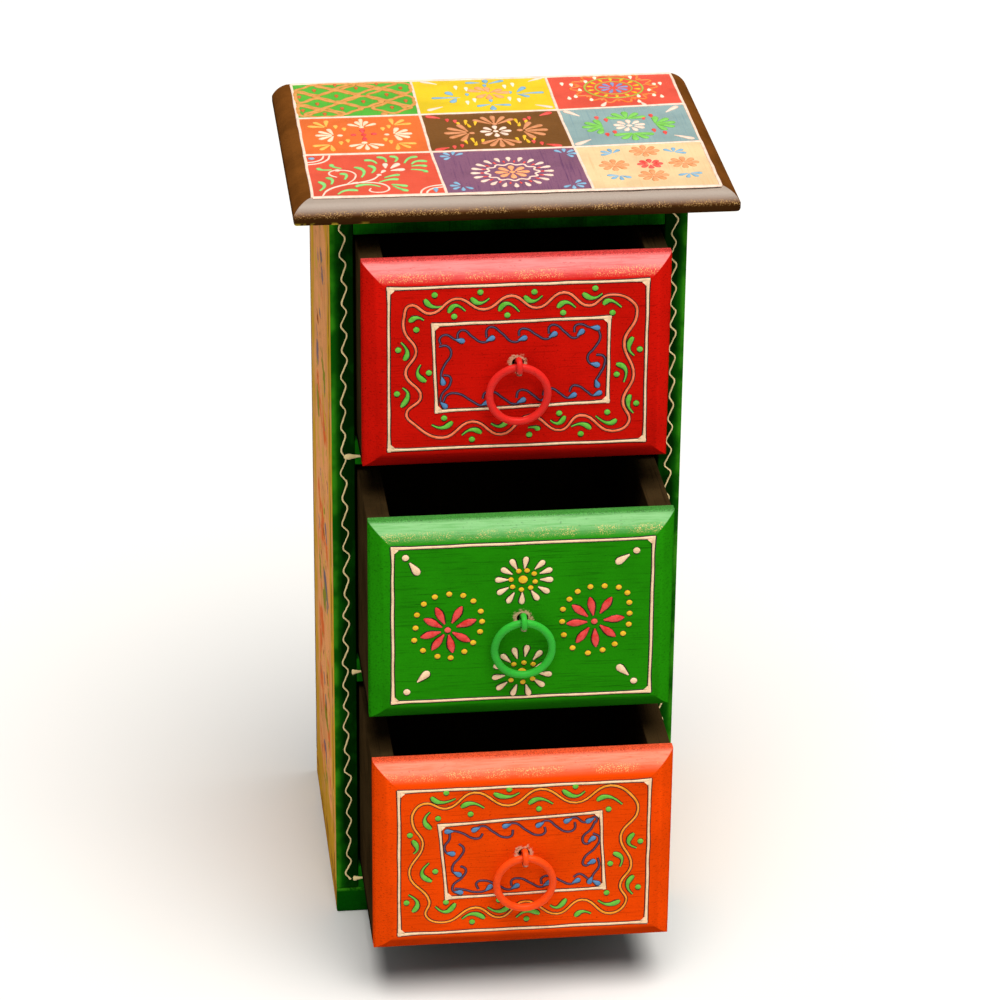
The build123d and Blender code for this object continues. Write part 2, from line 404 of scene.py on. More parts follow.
def laid(name, strokes, place, wash, wash_width):
    """Strokes by paint, in mm on a face, squeezed out as raised lines and set on that face."""
    made = []
    runs = dict(strokes)
    if wash_width:
        runs = {None: [stroke for group in strokes.values() for stroke in group], **strokes}
    for tint, group in runs.items():
        bpy.ops.object.select_all(action="DESELECT")
        bpy.ops.curve.primitive_bezier_curve_add()
        line = bpy.context.object
        line.data.splines.clear()
        line.data.dimensions = "3D"
        line.data.fill_mode = "FULL"
        line.data.bevel_depth = 1.0
        line.data.bevel_resolution = 2
        line.data.use_fill_caps = True
        for points, widths, closed, steps in group:
            spline = line.data.splines.new("BEZIER")
            spline.bezier_points.add(len(points) - 1)
            spline.use_cyclic_u = closed
            spline.resolution_u = steps
            for knot, (x, y), width in zip(spline.bezier_points, points, widths):
                knot.co = (x, y, 0)
                knot.handle_left_type = "AUTO"
                knot.handle_right_type = "AUTO"
                knot.radius = (width + (0 if tint else wash_width)) / 2
        bpy.ops.object.convert(target="MESH")
        line = bpy.context.object
        tallest = line_height if tint else wash_height
        for corner in line.data.vertices:
            rise = corner.co.z
            rounded = tallest * (1 - math.exp(-line_round * rise / tallest))
            corner.co.z = rounded if rise > 0 else line_foot
        layer = line.data.color_attributes.new("paint", "FLOAT_COLOR", "POINT")
        layer.data.foreach_set("color", list(tint or wash) * len(line.data.vertices))
        made.append(line)
    pick(*made)
    bpy.ops.object.join()
    piece = bpy.context.object
    piece.name = name
    piece.data.transform(place @ Matrix.Scale(mm, 4))
    piece.data.materials.append(piping)
    bpy.ops.object.shade_smooth()
    return piece


def piped_paint(name):
    """Thick glossy craft paint in the colour of each stroke, a little uneven and dusty."""
    material = bpy.data.materials.new(name)
    material.use_nodes = True
    tree = material.node_tree
    shader = tree.nodes["Principled BSDF"]
    place = add(tree, "TexCoord").outputs["Object"]
    tint = add(tree, "Attribute", attribute_name="paint").outputs["Color"]
    cloud = noise(tree, place, 420, 3.0)
    dull = add(tree, "HueSaturation", {"Saturation": 1.05, "Value": 0.84, "Color": tint}).outputs[0]
    colour = cover(tree, tint, dull, between(tree, cloud, 0.42, 0.66))
    tree.links.new(colour, shader.inputs["Base Color"])
    tree.links.new(work(tree, "MULTIPLY_ADD", cloud, 0.25, 0.28), shader.inputs["Roughness"])
    shader.inputs["Specular IOR Level"].default_value = 0.25
    bump = add(tree, "Bump", {"Strength": 0.2, "Distance": 0.0003, "Height": cloud})
    tree.links.new(bump.outputs[0], shader.inputs["Normal"])
    return material


piping = piped_paint("piped_paint")
upright = Matrix.Rotation(math.radians(90), 4, "X")


def on_front(y, z):
    """Where a face toward the front stands: its x runs right, its y runs up."""
    return Matrix.Translation((0, y, z)) @ upright


line_x = 60.4
line_bottom = 14.5
line_top = 291.4
wave_length = 9.6
wave_swing = 1.0
waves = []
for side in (-1, 1):
    points = []
    height = line_bottom
    swing = 1
    while height < line_top:
        drift = 0.4 * math.sin(0.06 * height + side)
        points.append((side * line_x + drift + swing * wave_swing * hand.uniform(0.7, 1.2), height))
        height += (0.3 if swing > 0 else 0.7) * wave_length * hand.uniform(0.85, 1.15)
        swing = -swing
    points.append((side * line_x, line_top))
    kinked = points[:1]
    for start, end in zip(points, points[1:]):
        for share in (0.5, 1):
            kinked.append(tuple(a + (b - a) * share for a, b in zip(start, end)))
    waves.append(pull(kinked, 0.66, ends=1.3))
for height, start in ((14.8, -58.6), (105.8, -58.4), (195.8, -60.6)):
    waves.append(comma((start, height), (-56.8, height + 0.1), (-53.6, height + 0.3), 2.4, 0.7))
    waves.append(drop(57.8, height + 1.6, 2.4, 1.5, 4))
stile_cream = paint(255, 230, 168)
stile_glaze = paint(6, 30, 4)
stile_lines = laid(
    "carcass_raised_lines", {stile_cream: waves}, on_front(carcass_front, 0), stile_glaze, 0.25
)
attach(stile_lines, "carcass")

# Back panel: thin plywood pinned over the back edges of the sides, stained brown and left
# unpainted, as the back of such a box is. Its edges are sawn square.
ply_face = paint(126, 84, 48)
back_ply, tree, shader, place, ply = brushed_paint(
    "back_ply", ply_face, "z", paint(74, 44, 22), 0.8, patch=0.72, gloss=0.6, relief=0.45
)
rings = noise(tree, place, (95, 300, 7), 3.0)
figure = between(tree, work(tree, "SINE", work(tree, "MULTIPLY", rings, 70.0)), 0.2, 1.0)
ply = cover(tree, ply, paint(92, 56, 28), both(tree, figure, 0.55))
tree.links.new(ply, shader.inputs["Base Color"])
thin_rub = 0.3 * mm
back = sawn_board("back_panel", thin_rub)
finished(back, "back_panel_stained", "back_panel", back_ply)

# Brads: flat steel, punched under the surface of the boards. Those in painted wood are filled
# over, so only the holes in the back panel ever show.
brad_steel = bpy.data.materials.new("brad_steel")
brad_steel.use_nodes = True
tree = brad_steel.node_tree
shader = tree.nodes["Principled BSDF"]
place = add(tree, "TexCoord").outputs["Object"]
rust = between(tree, noise(tree, place, 900), 0.45, 0.62)
steel = cover(tree, paint(150, 148, 145), paint(112, 70, 42), rust)
tree.links.new(steel, shader.inputs["Base Color"])
tree.links.new(work(tree, "MULTIPLY_ADD", rust, 0.35, 0.4), shader.inputs["Roughness"])
shader.inputs["Metallic"].default_value = 0.9
for node in nodes:
    if node.endswith("brads"):
        nodes[node].data.materials.clear()
        nodes[node].data.materials.append(brad_steel)

# Top board: one plank, its front and both ends planed to a crowned bevel with a soft ridge,
# square at the back, rounded below. Painted dark brown, with a painted grey sheen on the front
# bevel, painted shade on the rim below it and flecks of gold under it.
top_low, top_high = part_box("top_board")
top_bevel_width = 6 * mm
top_bevel_drop = 4.5 * mm
top_bevel_crown = 0.9 * mm
top_under_round = 2 * mm


def plane_steps(width, drop_height, crown):
    """Inset and rise of each cut of the plane, from the rim up to the soft ridge."""
    chord = math.hypot(width, drop_height)
    points = [(0.0, 0.0)]
    for share in (0.12, 0.26, 0.42, 0.58, 0.74, 0.87, 0.95):
        bulge = 4 * crown * share * (1 - share) / chord
        points.append((share * width - bulge * drop_height, share * drop_height + bulge * width))
    points += [(width + 0.5 * mm, drop_height - 0.035 * mm), (width + 1.7 * mm, drop_height)]
    return [(b[0] - a[0], b[1] - a[1]) for a, b in zip(points, points[1:])]


def select_faces(piece, wanted):
    """In edit mode, selects the faces whose middle and normal pass the test."""
    bpy.ops.object.mode_set(mode="EDIT")
    bpy.ops.mesh.select_mode(type="FACE")
    bpy.ops.mesh.select_all(action="DESELECT")
    bpy.ops.object.mode_set(mode="OBJECT")
    for face in piece.data.polygons:
        face.select = wanted(face.center, face.normal)
    bpy.ops.object.mode_set(mode="EDIT")


def select_edges(piece, wanted):
    """In edit mode, selects the edges whose two ends pass the test."""
    bpy.ops.object.mode_set(mode="EDIT")
    bpy.ops.mesh.select_mode(type="EDGE")
    bpy.ops.mesh.select_all(action="DESELECT")
    bpy.ops.object.mode_set(mode="OBJECT")
    corners = piece.data.vertices
    for edge in piece.data.edges:
        edge.select = wanted(*(corners[index].co for index in edge.vertices))
    bpy.ops.object.mode_set(mode="EDIT")


back_spare = 20 * mm
soft_edge = math.radians(38)
top_board = block(top_low, top_high + Vector((0, back_spare, -top_bevel_drop)))
under = top_low.z + 0.1 * mm
select_edges(top_board, lambda a, b: max(a.z, b.z) < under and min(a.y, b.y) < top_high.y)
bpy.ops.mesh.bevel(offset=top_under_round, segments=4, affect="EDGES")
select_faces(top_board, lambda middle, normal: normal.z > 0.9)
for inset, rise in plane_steps(top_bevel_width, top_bevel_drop, top_bevel_crown):
    bpy.ops.mesh.inset(thickness=inset, depth=rise)
bpy.ops.mesh.select_all(action="SELECT")
bpy.ops.mesh.bisect(
    plane_co=(0, top_high.y, 0), plane_no=(0, 1, 0), use_fill=True, clear_outer=True
)
bpy.ops.object.mode_set(mode="OBJECT")
bpy.ops.object.shade_smooth_by_angle(angle=soft_edge)

brown_ground = paint(112, 66, 25)
brown_streak = paint(52, 30, 12)
painted_sheen_grey = paint(170, 157, 146)
rim_shade_brown = paint(44, 26, 10)
fleck_gold = paint(208, 166, 104)
under_ochre = paint(176, 150, 48)
moulding_brown, tree, shader, place, brown = brushed_paint(
    "moulding_brown", brown_ground, "x", brown_streak, 0.5, patch=0.72, gloss=0.36, relief=0.4
)
flat_left = top_low.x + top_bevel_width
flat_right = top_high.x - top_bevel_width
flat_front = top_low.y + top_bevel_width
x = axis_of(tree, place, "x")
z = axis_of(tree, place, "z")
forward = work(tree, "SUBTRACT", flat_front, axis_of(tree, place, "y"))
beyond = work(tree, "MAXIMUM", forward, work(tree, "SUBTRACT", flat_left, x))
beyond = work(tree, "MAXIMUM", beyond, work(tree, "SUBTRACT", x, flat_right))
cloud = noise(tree, place, 120)
grit = noise(tree, place, 2300, 2.0)
front_face = between(tree, work(tree, "SUBTRACT", beyond, forward), 0.5 * mm, 0.1 * mm)
# Painted sheen: the upper part of the front bevel painted grey, a little glossier.
sheen_mask = both(tree, between(tree, forward, -1.8 * mm, -0.4 * mm), front_face)
sheen_mask = both(tree, sheen_mask, between(tree, z, top_high.z - 5.2 * mm, top_high.z - 1.4 * mm))
brown = cover(tree, brown, painted_sheen_grey, both(tree, sheen_mask, 0.85))
# Painted shade: the lower front rim painted dark brown.
rim = between(tree, z, top_high.z - 3.6 * mm, top_high.z - 5.6 * mm)
brown = cover(tree, brown, rim_shade_brown, both(tree, rim, 0.85))
specks = work(tree, "ABSOLUTE", work(tree, "SUBTRACT", z, top_high.z - 4.3 * mm))
specks = both(tree, between(tree, specks, 1.6 * mm, 0.3 * mm), between(tree, grit, 0.54, 0.62))
specks = both(tree, both(tree, specks, front_face), between(tree, cloud, 0.36, 0.54))
brown = cover(tree, brown, fleck_gold, both(tree, specks, 0.85))
tree.links.new(both(tree, sheen_mask, 0.15), shader.inputs["Specular IOR Level"])
under_gold = between(tree, z, top_low.z + 1.8 * mm, top_low.z + 0.5 * mm)
under_gold = both(tree, under_gold, between(tree, cloud, 0.48, 0.56))
under_gold = both(tree, under_gold, between(tree, x, -48 * mm, -58 * mm))
brown = cover(tree, brown, under_ochre, under_gold)
tree.links.new(brown, shader.inputs["Base Color"])
finished(top_board, "top_board_moulded", "top_board", moulding_brown)

# Nine painted squares on the top: each a thin coat of its own paint, drawn freehand, so the
# rows run a little out of true. Brush marks run front to back in the thin coats.
top_face = Matrix.Translation((2 * mm, -3.5 * mm, top_high.z))
column_lines = (
    (-73.4, -27.6, 24.6, 73.0),
    (-73.4, -27.6, 24.6, 73.0),
    (-73.4, -27.2, 25.6, 73.0),
    (-73.4, -25.6, 27.0, 73.0),
)
row_lines = (
    (58.6, 58.6, 58.6, 58.6),
    (20.6, 20.9, 21.5, 24.2),
    (-18.2, -18.9, -18.5, -16.6),
    (-61.0, -61.8, -62.2, -62.2),
)
coats = (
    ("leaf_green", paint(84, 176, 56), paint(60, 130, 30), 0.3),
    ("yellow", paint(230, 198, 35), paint(212, 154, 14), 0.25),
    ("mandala_red", paint(222, 84, 64), paint(196, 48, 36), 0.25),
    ("orange", paint(228, 110, 48), paint(204, 78, 22), 0.25),
    ("umber", paint(118, 75, 28), paint(74, 42, 14), 0.3),
    ("blue_grey", paint(142, 168, 168), paint(92, 128, 150), 0.5),
    ("vine_red", paint(218, 84, 60), paint(190, 44, 30), 0.25),
    ("purple", paint(130, 86, 112), paint(70, 34, 86), 0.9),
    ("beige", paint(234, 204, 156), paint(222, 152, 96), 0.5),
)
coat_thickness = 0.06 * mm
squares = []
for index, (name, ground, streak, share) in enumerate(coats):
    row, column = divmod(index, 3)
    coat = brushed_paint("coat_" + name, ground, "y", streak, share, patch=0.84, gloss=0.36)[0]
    bpy.ops.object.select_all(action="DESELECT")
    bpy.ops.mesh.primitive_plane_add(size=2)
    square = bpy.context.object
    for corner in square.data.vertices:
        across = column + (corner.co.x > 0)
        down = row + (corner.co.y < 0)
        corner.co = (column_lines[down][across] * mm, row_lines[down][across] * mm, 0)
    square.data.transform(top_face)
    shell = square.modifiers.new("Coat", "SOLIDIFY")
    shell.thickness = 2 * coat_thickness
    shell.offset = 0
    bpy.ops.object.modifier_apply(modifier=shell.name)
    square.data.materials.append(coat)
    squares.append(square)
pick(*squares)
bpy.ops.object.join()
top_squares = bpy.context.object
top_squares.name = "top_painted_squares"
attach(top_squares, "carcass")

# Raised lines and figures on the top: the cream lines that part the squares, and in each
# square a folk figure of teardrops, dots and fans piped from the same cone.
line_cream = paint(250, 219, 200)
peach = paint(250, 172, 120)
sky = paint(138, 182, 212)
white = paint(250, 240, 214)
gold = paint(246, 194, 54)
leaf = paint(131, 204, 95)
coral = paint(240, 92, 84)
magenta = paint(238, 88, 88)
lime = paint(178, 182, 74)
amber = paint(248, 138, 76)
top_strokes = {}


def pipe(tint, *strokes):
    """Puts strokes of one paint on the top."""
    top_strokes.setdefault(tint, []).extend(strokes)


def drops_at(places, length, width, heading=90):
    """Like teardrops at several places, all with one heading."""
    return [drop(x, y, length, width, heading) for x, y in places]


def turned_drops(places, length, width):
    """Like teardrops, each with its own place and heading."""
    return [drop(x, y, length, width, heading) for x, y, heading in places]


def fans_at(places, *shape):
    """Like fans, each with its own place and heading."""
    return [stroke for place in places for stroke in fan(*place, *shape)]


crossings = [list(zip(*row)) for row in zip(column_lines, row_lines)]
row_widths = (1.7, 1.7, 1.7, 2.3)
column_width = 1.2
for row, width in zip(crossings, row_widths):
    pipe(line_cream, *(ruled(start, end, width) for start, end in zip(row, row[1:])))
for column in zip(*crossings):
    pipe(line_cream, *(ruled(start, end, column_width) for start, end in zip(column, column[1:])))

# Green square: a net of round meshes, a seed in each and a dot where four of them meet
net_line = paint(218, 154, 84)
net_seed = paint(206, 108, 58)
seeds = (
    (-65.1, 50.9), (-49, 52.3), (-32.1, 50.8), (-71.2, 44.2), (-57.1, 44), (-38, 44), (-64.9, 35.8),
    (-47.4, 37), (-31.4, 36.4), (-70.8, 29.1), (-56, 30), (-37.2, 29.6), (-62.9, 24.6), (-56.8, 56.4),
    (-40.9, 56.6),
)
mesh_step = (8.2, 7.2)
mesh_reach = (7.2, 6.2)
net_low = (-72.6, 21.8)
net_high = (-28.4, 57.6)
net_middle = seeds[4]
for seed in seeds:
    ring = []
    for turn in range(0, 360, 45):
        out = around(0, 0, 0.74 if turn % 90 else 1, turn)
        spot = [at + part * size for at, part, size in zip(seed, out, mesh_reach)]
        ring.append(tuple(min(max(at, low), high) for at, low, high in zip(spot, net_low, net_high)))
    pipe(net_line, pull(ring, 1.8, closed=True))
for across in range(-2, 4):
    for up in range(-3, 2):
        x = net_middle[0] + across * mesh_step[0]
        y = net_middle[1] + up * mesh_step[1]
        if (across + up) % 2 and net_low[0] < x < net_high[0]:
            pipe(net_line, drop(x, y, 4.2, 3.2, 90))
pipe(net_seed, *drops_at(seeds, 3.4, 1.9))

# Yellow square: a peach rosette between blue sprigs, white drops and corner drops


def petals(middle, places, length, width):
    """Teardrops at chosen places, fat ends away from the middle."""
    return [
        drop(x, y, length, width, math.degrees(math.atan2(y - middle[1], x - middle[0])))
        for x, y in places
    ]


rosette = (
    (-4.5, 45), (-2.1, 47), (0.5, 46.2), (-2.2, 39.4), (0.6, 38.2), (3.8, 44.6), (6.2, 42.4), (4, 38.8),
)
sprig_fat = 1.25
sprig_drops = (
    (-16, 38.4, 11, 1.5, 180), (-14.2, 43, 4.6, 2.6, 120), (-13.2, 35.2, 5.2, 2.4, 245),
    (17.6, 41.2, 8.6, 1.5, 2), (13.4, 45.4, 6.6, 2.2, 58), (13.6, 38.8, 6, 1.7, -42),
    (0.8, 55.4, 4.2, 2.2, 90), (-4.2, 54.4, 5.6, 1.7, 178), (4.8, 54.5, 7, 1.7, 28),
    (0.7, 26, 5, 2.3, -90), (-2.6, 29, 5.6, 1.6, 200), (4.7, 28.9, 6.4, 1.6, -8),
    (-7.6, 41.3, 2.8, 1.5, 90), (9, 42.3, 2.8, 1.5, 90), (0.1, 50.8, 2.8, 1.5, 90),
    (0.7, 33.8, 2.8, 1.5, 90),
)
white_drops = (
    (-11.1, 49.5), (-7.3, 47.5), (-8.3, 32.4), (-5.4, 34.9), (7.6, 49), (10.9, 51), (8, 35.4), (11.4, 33.5),
)
corner_drops = ((-20.9, 55.8, 149), (20.2, 56.2, 35), (-21.2, 26.9, 212), (20, 26.2, -30))
pipe(peach, *petals((0.9, 42.6), rosette, 5.6, 3.1))
pipe(sky, *(drop(x, y, run, sprig_fat * fat, turn) for x, y, run, fat, turn in sprig_drops))
pipe(white, *drops_at(white_drops, 4.2, 1.9))
pipe(line_cream, *turned_drops(corner_drops, 7.2, 2.3))

# Back red square: a round of blue petals in two lime rings, with scalloped amber petals outside
bloom = (49.0, 44.2)
bloom_top = 57.4


def round_line(middle, reach, swing, lobes):
    """A closed ring of points that swings in and out so many times, cut off at the board's edge."""
    points = []
    for step in range(2 * lobes):
        x, y = around(*middle, reach + swing * (-1) ** step, 180 * step / lobes)
        points.append((x, min(y, bloom_top)))
    return points


lilac = paint(140, 152, 198)
spots = (
    (29.8, 50), (33.3, 48.6), (35.8, 43), (39.2, 51.6), (33.3, 36), (30.6, 34.2), (38.8, 32),
    (57, 55.4), (65, 46.6), (67.4, 47.4), (62.2, 41), (63.2, 35.2), (66, 33.4), (57.2, 34.5),
    (43.2, 55.6), (56.6, 28.6),
)
pipe(lilac, *daisy(*bloom, 9, 4.2, 1.9, 1.6))
pipe(lime, pull(round_line(bloom, 7.0, 0, 9), 0.7, closed=True))
pipe(lime, pull(round_line(bloom, 11.1, 0, 9), 0.95, closed=True))
pipe(gold, *daisy(*bloom, 14, 2.6, 1.7, 7.8))
pipe(amber, pull(round_line(bloom, 15.0, 1.7, 14), 1.1, closed=True))
pipe(amber, *daisy(*bloom, 14, 3.2, 1.4, 11.9))
pipe(white, *(drop(x, y, 3.4, 1.9, 90 if y > bloom[1] else -90) for x, y in spots))
pipe(line_cream, drop(43, 26.4, 5.4, 2.2, 245), drop(57.7, 25.6, 4.6, 2.0, 285))

# Orange square: a magenta stem with shell-white fans on four sides and gold fans in the corners
shell_white = paint(250, 220, 188)
straw = paint(248, 186, 92)
shell_dots = ((-59, 1.1, 2.2), (-41.7, 0.7, 2.0), (-50.6, -7.2, 2.3), (-50.4, 9.4, 2.0))
straw_fans = ((-63.5, 10.5, 128), (-38.5, 10.5, 52), (-63, -8, -128), (-38.5, -8.5, -52))
straw_drops = (
    (-60, 10.4), (-57, 7.6), (-42.7, 6.8), (-40.3, 9), (-56.5, -4.7), (-59.2, -6.8), (-42.6, -4.6),
    (-40.8, -7.2),
)
pipe(magenta, drop(-50.4, 5.2, 5, 2.4, 90), dot(-50.2, 1.2, 2.2), drop(-50.2, -2.6, 5, 2.2, -90))
pipe(magenta, dot(-54, 1.4, 2.2), dot(-46.4, 1.8, 2.4))
pipe(shell_white, *fan(-50.1, 9.6, 90, 120, 4, 4.8, 2.2, 1.4), drop(-50.2, 14.4, 7.6, 1.9, 90))
pipe(shell_white, *fan(-50.0, -7.6, -90, 130, 5, 5.6, 2.2, 1.5))
pipe(shell_white, *fan(-61.2, 1.6, 178, 146, 5, 6.2, 2.2, 0.8))
pipe(shell_white, *fan(-39.2, 0.8, 2, 146, 5, 6.2, 2.4, 0.8))
pipe(shell_white, *(dot(*spot) for spot in shell_dots))
pipe(straw, *fans_at(straw_fans, 84, 3, 6.4, 2.3, 0.6), *drops_at(straw_drops, 3.6, 2.2))

# Umber square: a cream daisy with clay-pink fans round it, gold strokes and coral corner drops
clay_pink = paint(220, 147, 102)
clay_dots = ((-10.2, -0.6, 2.2), (7.8, 1, 2.4), (-0.8, 8.4, 2.2), (-0.6, -7.8, 2.2))
tufts = ((-11.2, 9.6, 1), (7.8, 9.4, -1), (-10.4, -9.6, -1), (8.8, -8.4, 1))
coral_corners = ((-23, 17.6, 155), (19.4, 17.6, 35), (-22.8, -16.2, -155), (18.6, -15.8, -25))
coral_drops = (
    (-18, 13.8), (-15.2, 12.4), (12.8, 13.6), (11, 11.8), (-18.1, -14.8), (-15.2, -13.6), (11.5, -11.6),
    (14.3, -13.6),
)
pipe(line_cream, *daisy(-1.2, 0.6, 8, 4.0, 2.4, 1.9), dot(-1.2, 0.6, 2.2))
pipe(clay_pink, *fan(-0.9, 7.5, 90, 104, 5, 8.0, 2.4, 1.6))
pipe(clay_pink, *fan(-0.4, -7, -90, 110, 5, 7.6, 2.5, 1.4))
pipe(clay_pink, *fans_at(((-11, 0, 180), (8.8, 0.6, 0)), 136, 5, 8.4, 2.7, 1.2))
pipe(clay_pink, *(dot(*spot) for spot in clay_dots))
for x, y, lean in tufts:
    pipe(gold, drop(x - 0.2, y + 1.4, 5.2, 1.7, 90 - 6 * lean))
    pipe(gold, drop(x + 0.6, y - 1.8, 4.6, 1.6, -90 + 10 * lean))
    pipe(gold, drop(x - 2.9, y - 0.2, 4.2, 1.6, 100), drop(x + 3.3, y + 0.2, 4.6, 1.6, 82))
pipe(coral, *turned_drops(coral_corners, 6.0, 2.9), *drops_at(coral_drops, 3.4, 1.9))

# Blue-grey square: a cream daisy with leaf clusters and coral dots
clusters = ((49, 9.5, 90), (39, 2, 180), (59, 3.4, 8), (49.4, -5.6, -90))
coral_dots = (
    (38, 11.4), (41.2, 8.8), (55.4, 9.8), (58.6, 12.2), (42.7, -4.4), (39.6, -6.6), (57.5, -3.6),
    (61.2, -6.4),
)
cream_corners = ((29.3, 17.2, 130), (67.4, 18.6, 50), (29.6, -13.8, -140), (67.6, -11.6, -35))
pipe(line_cream, *daisy(49.1, 2.3, 9, 4.2, 2.5, 1.9), dot(49, 2.2, 2.4))
pipe(leaf, *fans_at(clusters, 150, 5, 7.4, 3.0, 0.4))
pipe(coral, *drops_at(coral_dots, 3.6, 2.0))
pipe(line_cream, *turned_drops(cream_corners, 8.2, 2.8))

# Front red square: a cream vine with a flower, pale green leaves and ringed corners
leaf_pale = paint(143, 217, 126)
vine = ((-69.9, -60), (-67.4, -54), (-61.6, -49.6), (-56.9, -48), (-50.8, -45), (-48.4, -41.4))
curl = (
    (-60.2, -48.6), (-57, -43), (-57, -37.8), (-60.8, -34.8), (-65.1, -35.6), (-65.7, -39), (-63.3, -41.6),
)
hook = (
    (-55.4, -47.6), (-49.8, -48.4), (-45.9, -52.4), (-46.5, -56.6), (-50.2, -57.8), (-52.7, -56),
    (-52.1, -53.6),
)
flower_drops = (
    (-46.4, -37.4, 3.2, 2.0, 60), (-57.5, -48, 3.4, 1.9, 10), (-45.1, -31.6, 5, 2.4, 88),
    (-41.7, -32, 6, 2.8, 55), (-40.9, -36.2, 5.4, 2.8, 8),
)
leaves = (
    ((-64.3, -28.4), (-63.9, -31), (-61, -33)), ((-69.5, -31.8), (-68.2, -33.8), (-64.7, -34)),
    ((-56.4, -32.2), (-53.3, -36), (-54.6, -42.6)), ((-51.3, -31), (-49.2, -34), (-50.6, -38.6)),
    ((-52.3, -25.8), (-49.6, -26), (-47.9, -29.2)), ((-47.5, -22.8), (-45, -24), (-44.4, -28)),
    ((-42.8, -22.2), (-40.3, -24), (-41.3, -28)), ((-32.6, -23.6), (-35.7, -24.6), (-38, -29.6)),
    ((-29.5, -28.6), (-33.2, -28), (-35.5, -31)), ((-30.1, -33.6), (-32.6, -32.4), (-35.7, -32.8)),
    ((-31, -39.6), (-32, -37.4), (-36.1, -36)), ((-62.2, -38.6), (-59.9, -39.6), (-60.8, -44.2)),
    ((-67.4, -42), (-65.3, -44), (-65.9, -48.6)), ((-70.3, -45.6), (-68.4, -49.6), (-70.5, -54.6)),
    ((-40.7, -41.6), (-43, -41.6), (-46.5, -43.6)), ((-41.5, -46), (-44.6, -45.6), (-48.8, -48)),
    ((-57.5, -51.8), (-53.3, -49.8), (-48.6, -52.4)), ((-56.8, -55.6), (-61, -55), (-64.3, -58.6)),
    ((-38.8, -52.8), (-41.7, -51.4), (-44.4, -50.4)), ((-39, -57.4), (-41.5, -55.4), (-44, -51.8)),
)
pipe(line_cream, pull(vine, 1.0), pull(curl, 0.9), pull(hook, 0.9))
pipe(line_cream, dot(-48.1, -40.6, 1.9), dot(-62.8, -34.9, 2.2), *(drop(*shape) for shape in flower_drops))
pipe(leaf_pale, *(comma(*points, 2.2, 0.8) for points in leaves))
for x, y, start in ((-73, -19.5, -90), (-26.4, -61, 90)):
    for reach in (6.4, 8.6):
        arc = [around(x, y, reach, start + turn) for turn in (0, 30, 60, 90)]
        pipe(line_cream, pull(arc, 0.9, ends=1.0))
pipe(sky, dot(-71.2, -22, 2.4), drop(-29.2, -57.4, 4, 2.2, 90))

# Purple square: a scalloped cream ring of peach petals, cream rays outside, blue corner fans
rose = (0, -42)
rose_reach = (9.2, 8.0)
scallop = 0.7
scallop_ring = []
for step in range(24):
    out = around(0, 0, 1, 15 * step)
    swing = scallop * (-1) ** step
    scallop_ring.append(tuple(at + (reach + swing) * part for at, reach, part in zip(rose, rose_reach, out)))
blue_fans = ((-19.8, -24, 130), (21.2, -24.6, 40), (-19.2, -54.2, -140), (20.4, -55.8, -45))
pipe(line_cream, *daisy(*rose, 20, 4.2, 2.2, 11.0), pull(scallop_ring, 0.95, closed=True))
pipe(coral, *daisy(*rose, 18, 2.2, 1.0, 9.6, start=80))
pipe(peach, *daisy(*rose, 8, 4.8, 2.8, 1.6), dot(*rose, 2.4))
pipe(sky, *fans_at(blue_fans, 190, 5, 3.5, 1.9, 1.3))

# Beige square: a red flower among four peach ones, blue fans in the corners
apricot = paint(238, 161, 111)
corner_fans = ((38.6, -26.2, 125), (61.2, -27, 60), (38.2, -48.8, -110), (63.6, -48.6, -80))
pipe(coral, *daisy(50.8, -38.2, 8, 3.8, 2.4, 1.0))
for x, y in ((50.6, -24.8), (37.6, -38.4), (63.2, -37.8), (50.4, -49.8)):
    pipe(apricot, *daisy(x, y, 8, 5.2, 2.6, 0.5))
pipe(sky, *fans_at(corner_fans, 150, 4, 4.2, 1.9, 0.5))

top_lines = laid("top_raised_lines", top_strokes, top_face, None, 0)
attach(top_lines, "carcass")

# Drawer boxes: plain boards and a thin floor each, butt-jointed and pinned. The bare wood
# was stained dark brown, inside and out.
box_rub = 0.6 * mm
stain = paint(56, 42, 23)
stain_dark = paint(14, 9, 5)
drawer_brown = brushed_paint(
    "drawer_brown", stain, "y", stain_dark, 0.8, patch=0.62, gloss=0.6, relief=0.45, sheen=0.0
)[0]
floor_stain = paint(24, 17, 10)
floor_dark = paint(10, 7, 4)
drawer_floor = brushed_paint(
    "drawer_floor", floor_stain, "y", floor_dark, 0.7, patch=0.75, gloss=0.65, sheen=0.0
)[0]
drawers = ("top", "middle", "bottom")
for drawer in drawers:
    for board in ("left_side", "right_side", "back"):
        node = drawer + "_drawer_" + board
        finished(sawn_board(node, box_rub), node + "_stained", node, drawer_brown)
    node = drawer + "_drawer_bottom"
    finished(sawn_board(node, thin_rub), node + "_stained", node, drawer_floor)

# Drawer fronts: one block each, planed on four edges to a crowned bevel with mitred corners
# and a soft ridge, bored for the pull. Red, green and orange, brushed along the grain, with a
# painted highlight and sheen on the upper bevel, painted shade on the lower bevel, flecks of gold
# and the paint chipped round the bore.
front_bevel_width = 7.6 * mm
front_bevel_drop = 5.5 * mm
front_bevel_crown = 0.9 * mm
front_rub = 0.3 * mm
bore_radius = 2.2 * mm
bore_length = 30 * mm
eye_rise = 1 * mm
mitre_blur = 0.3 * mm
fleck_cream = paint(255, 208, 130)
bare_wood = paint(226, 182, 146)
bare_dark = paint(140, 88, 62)


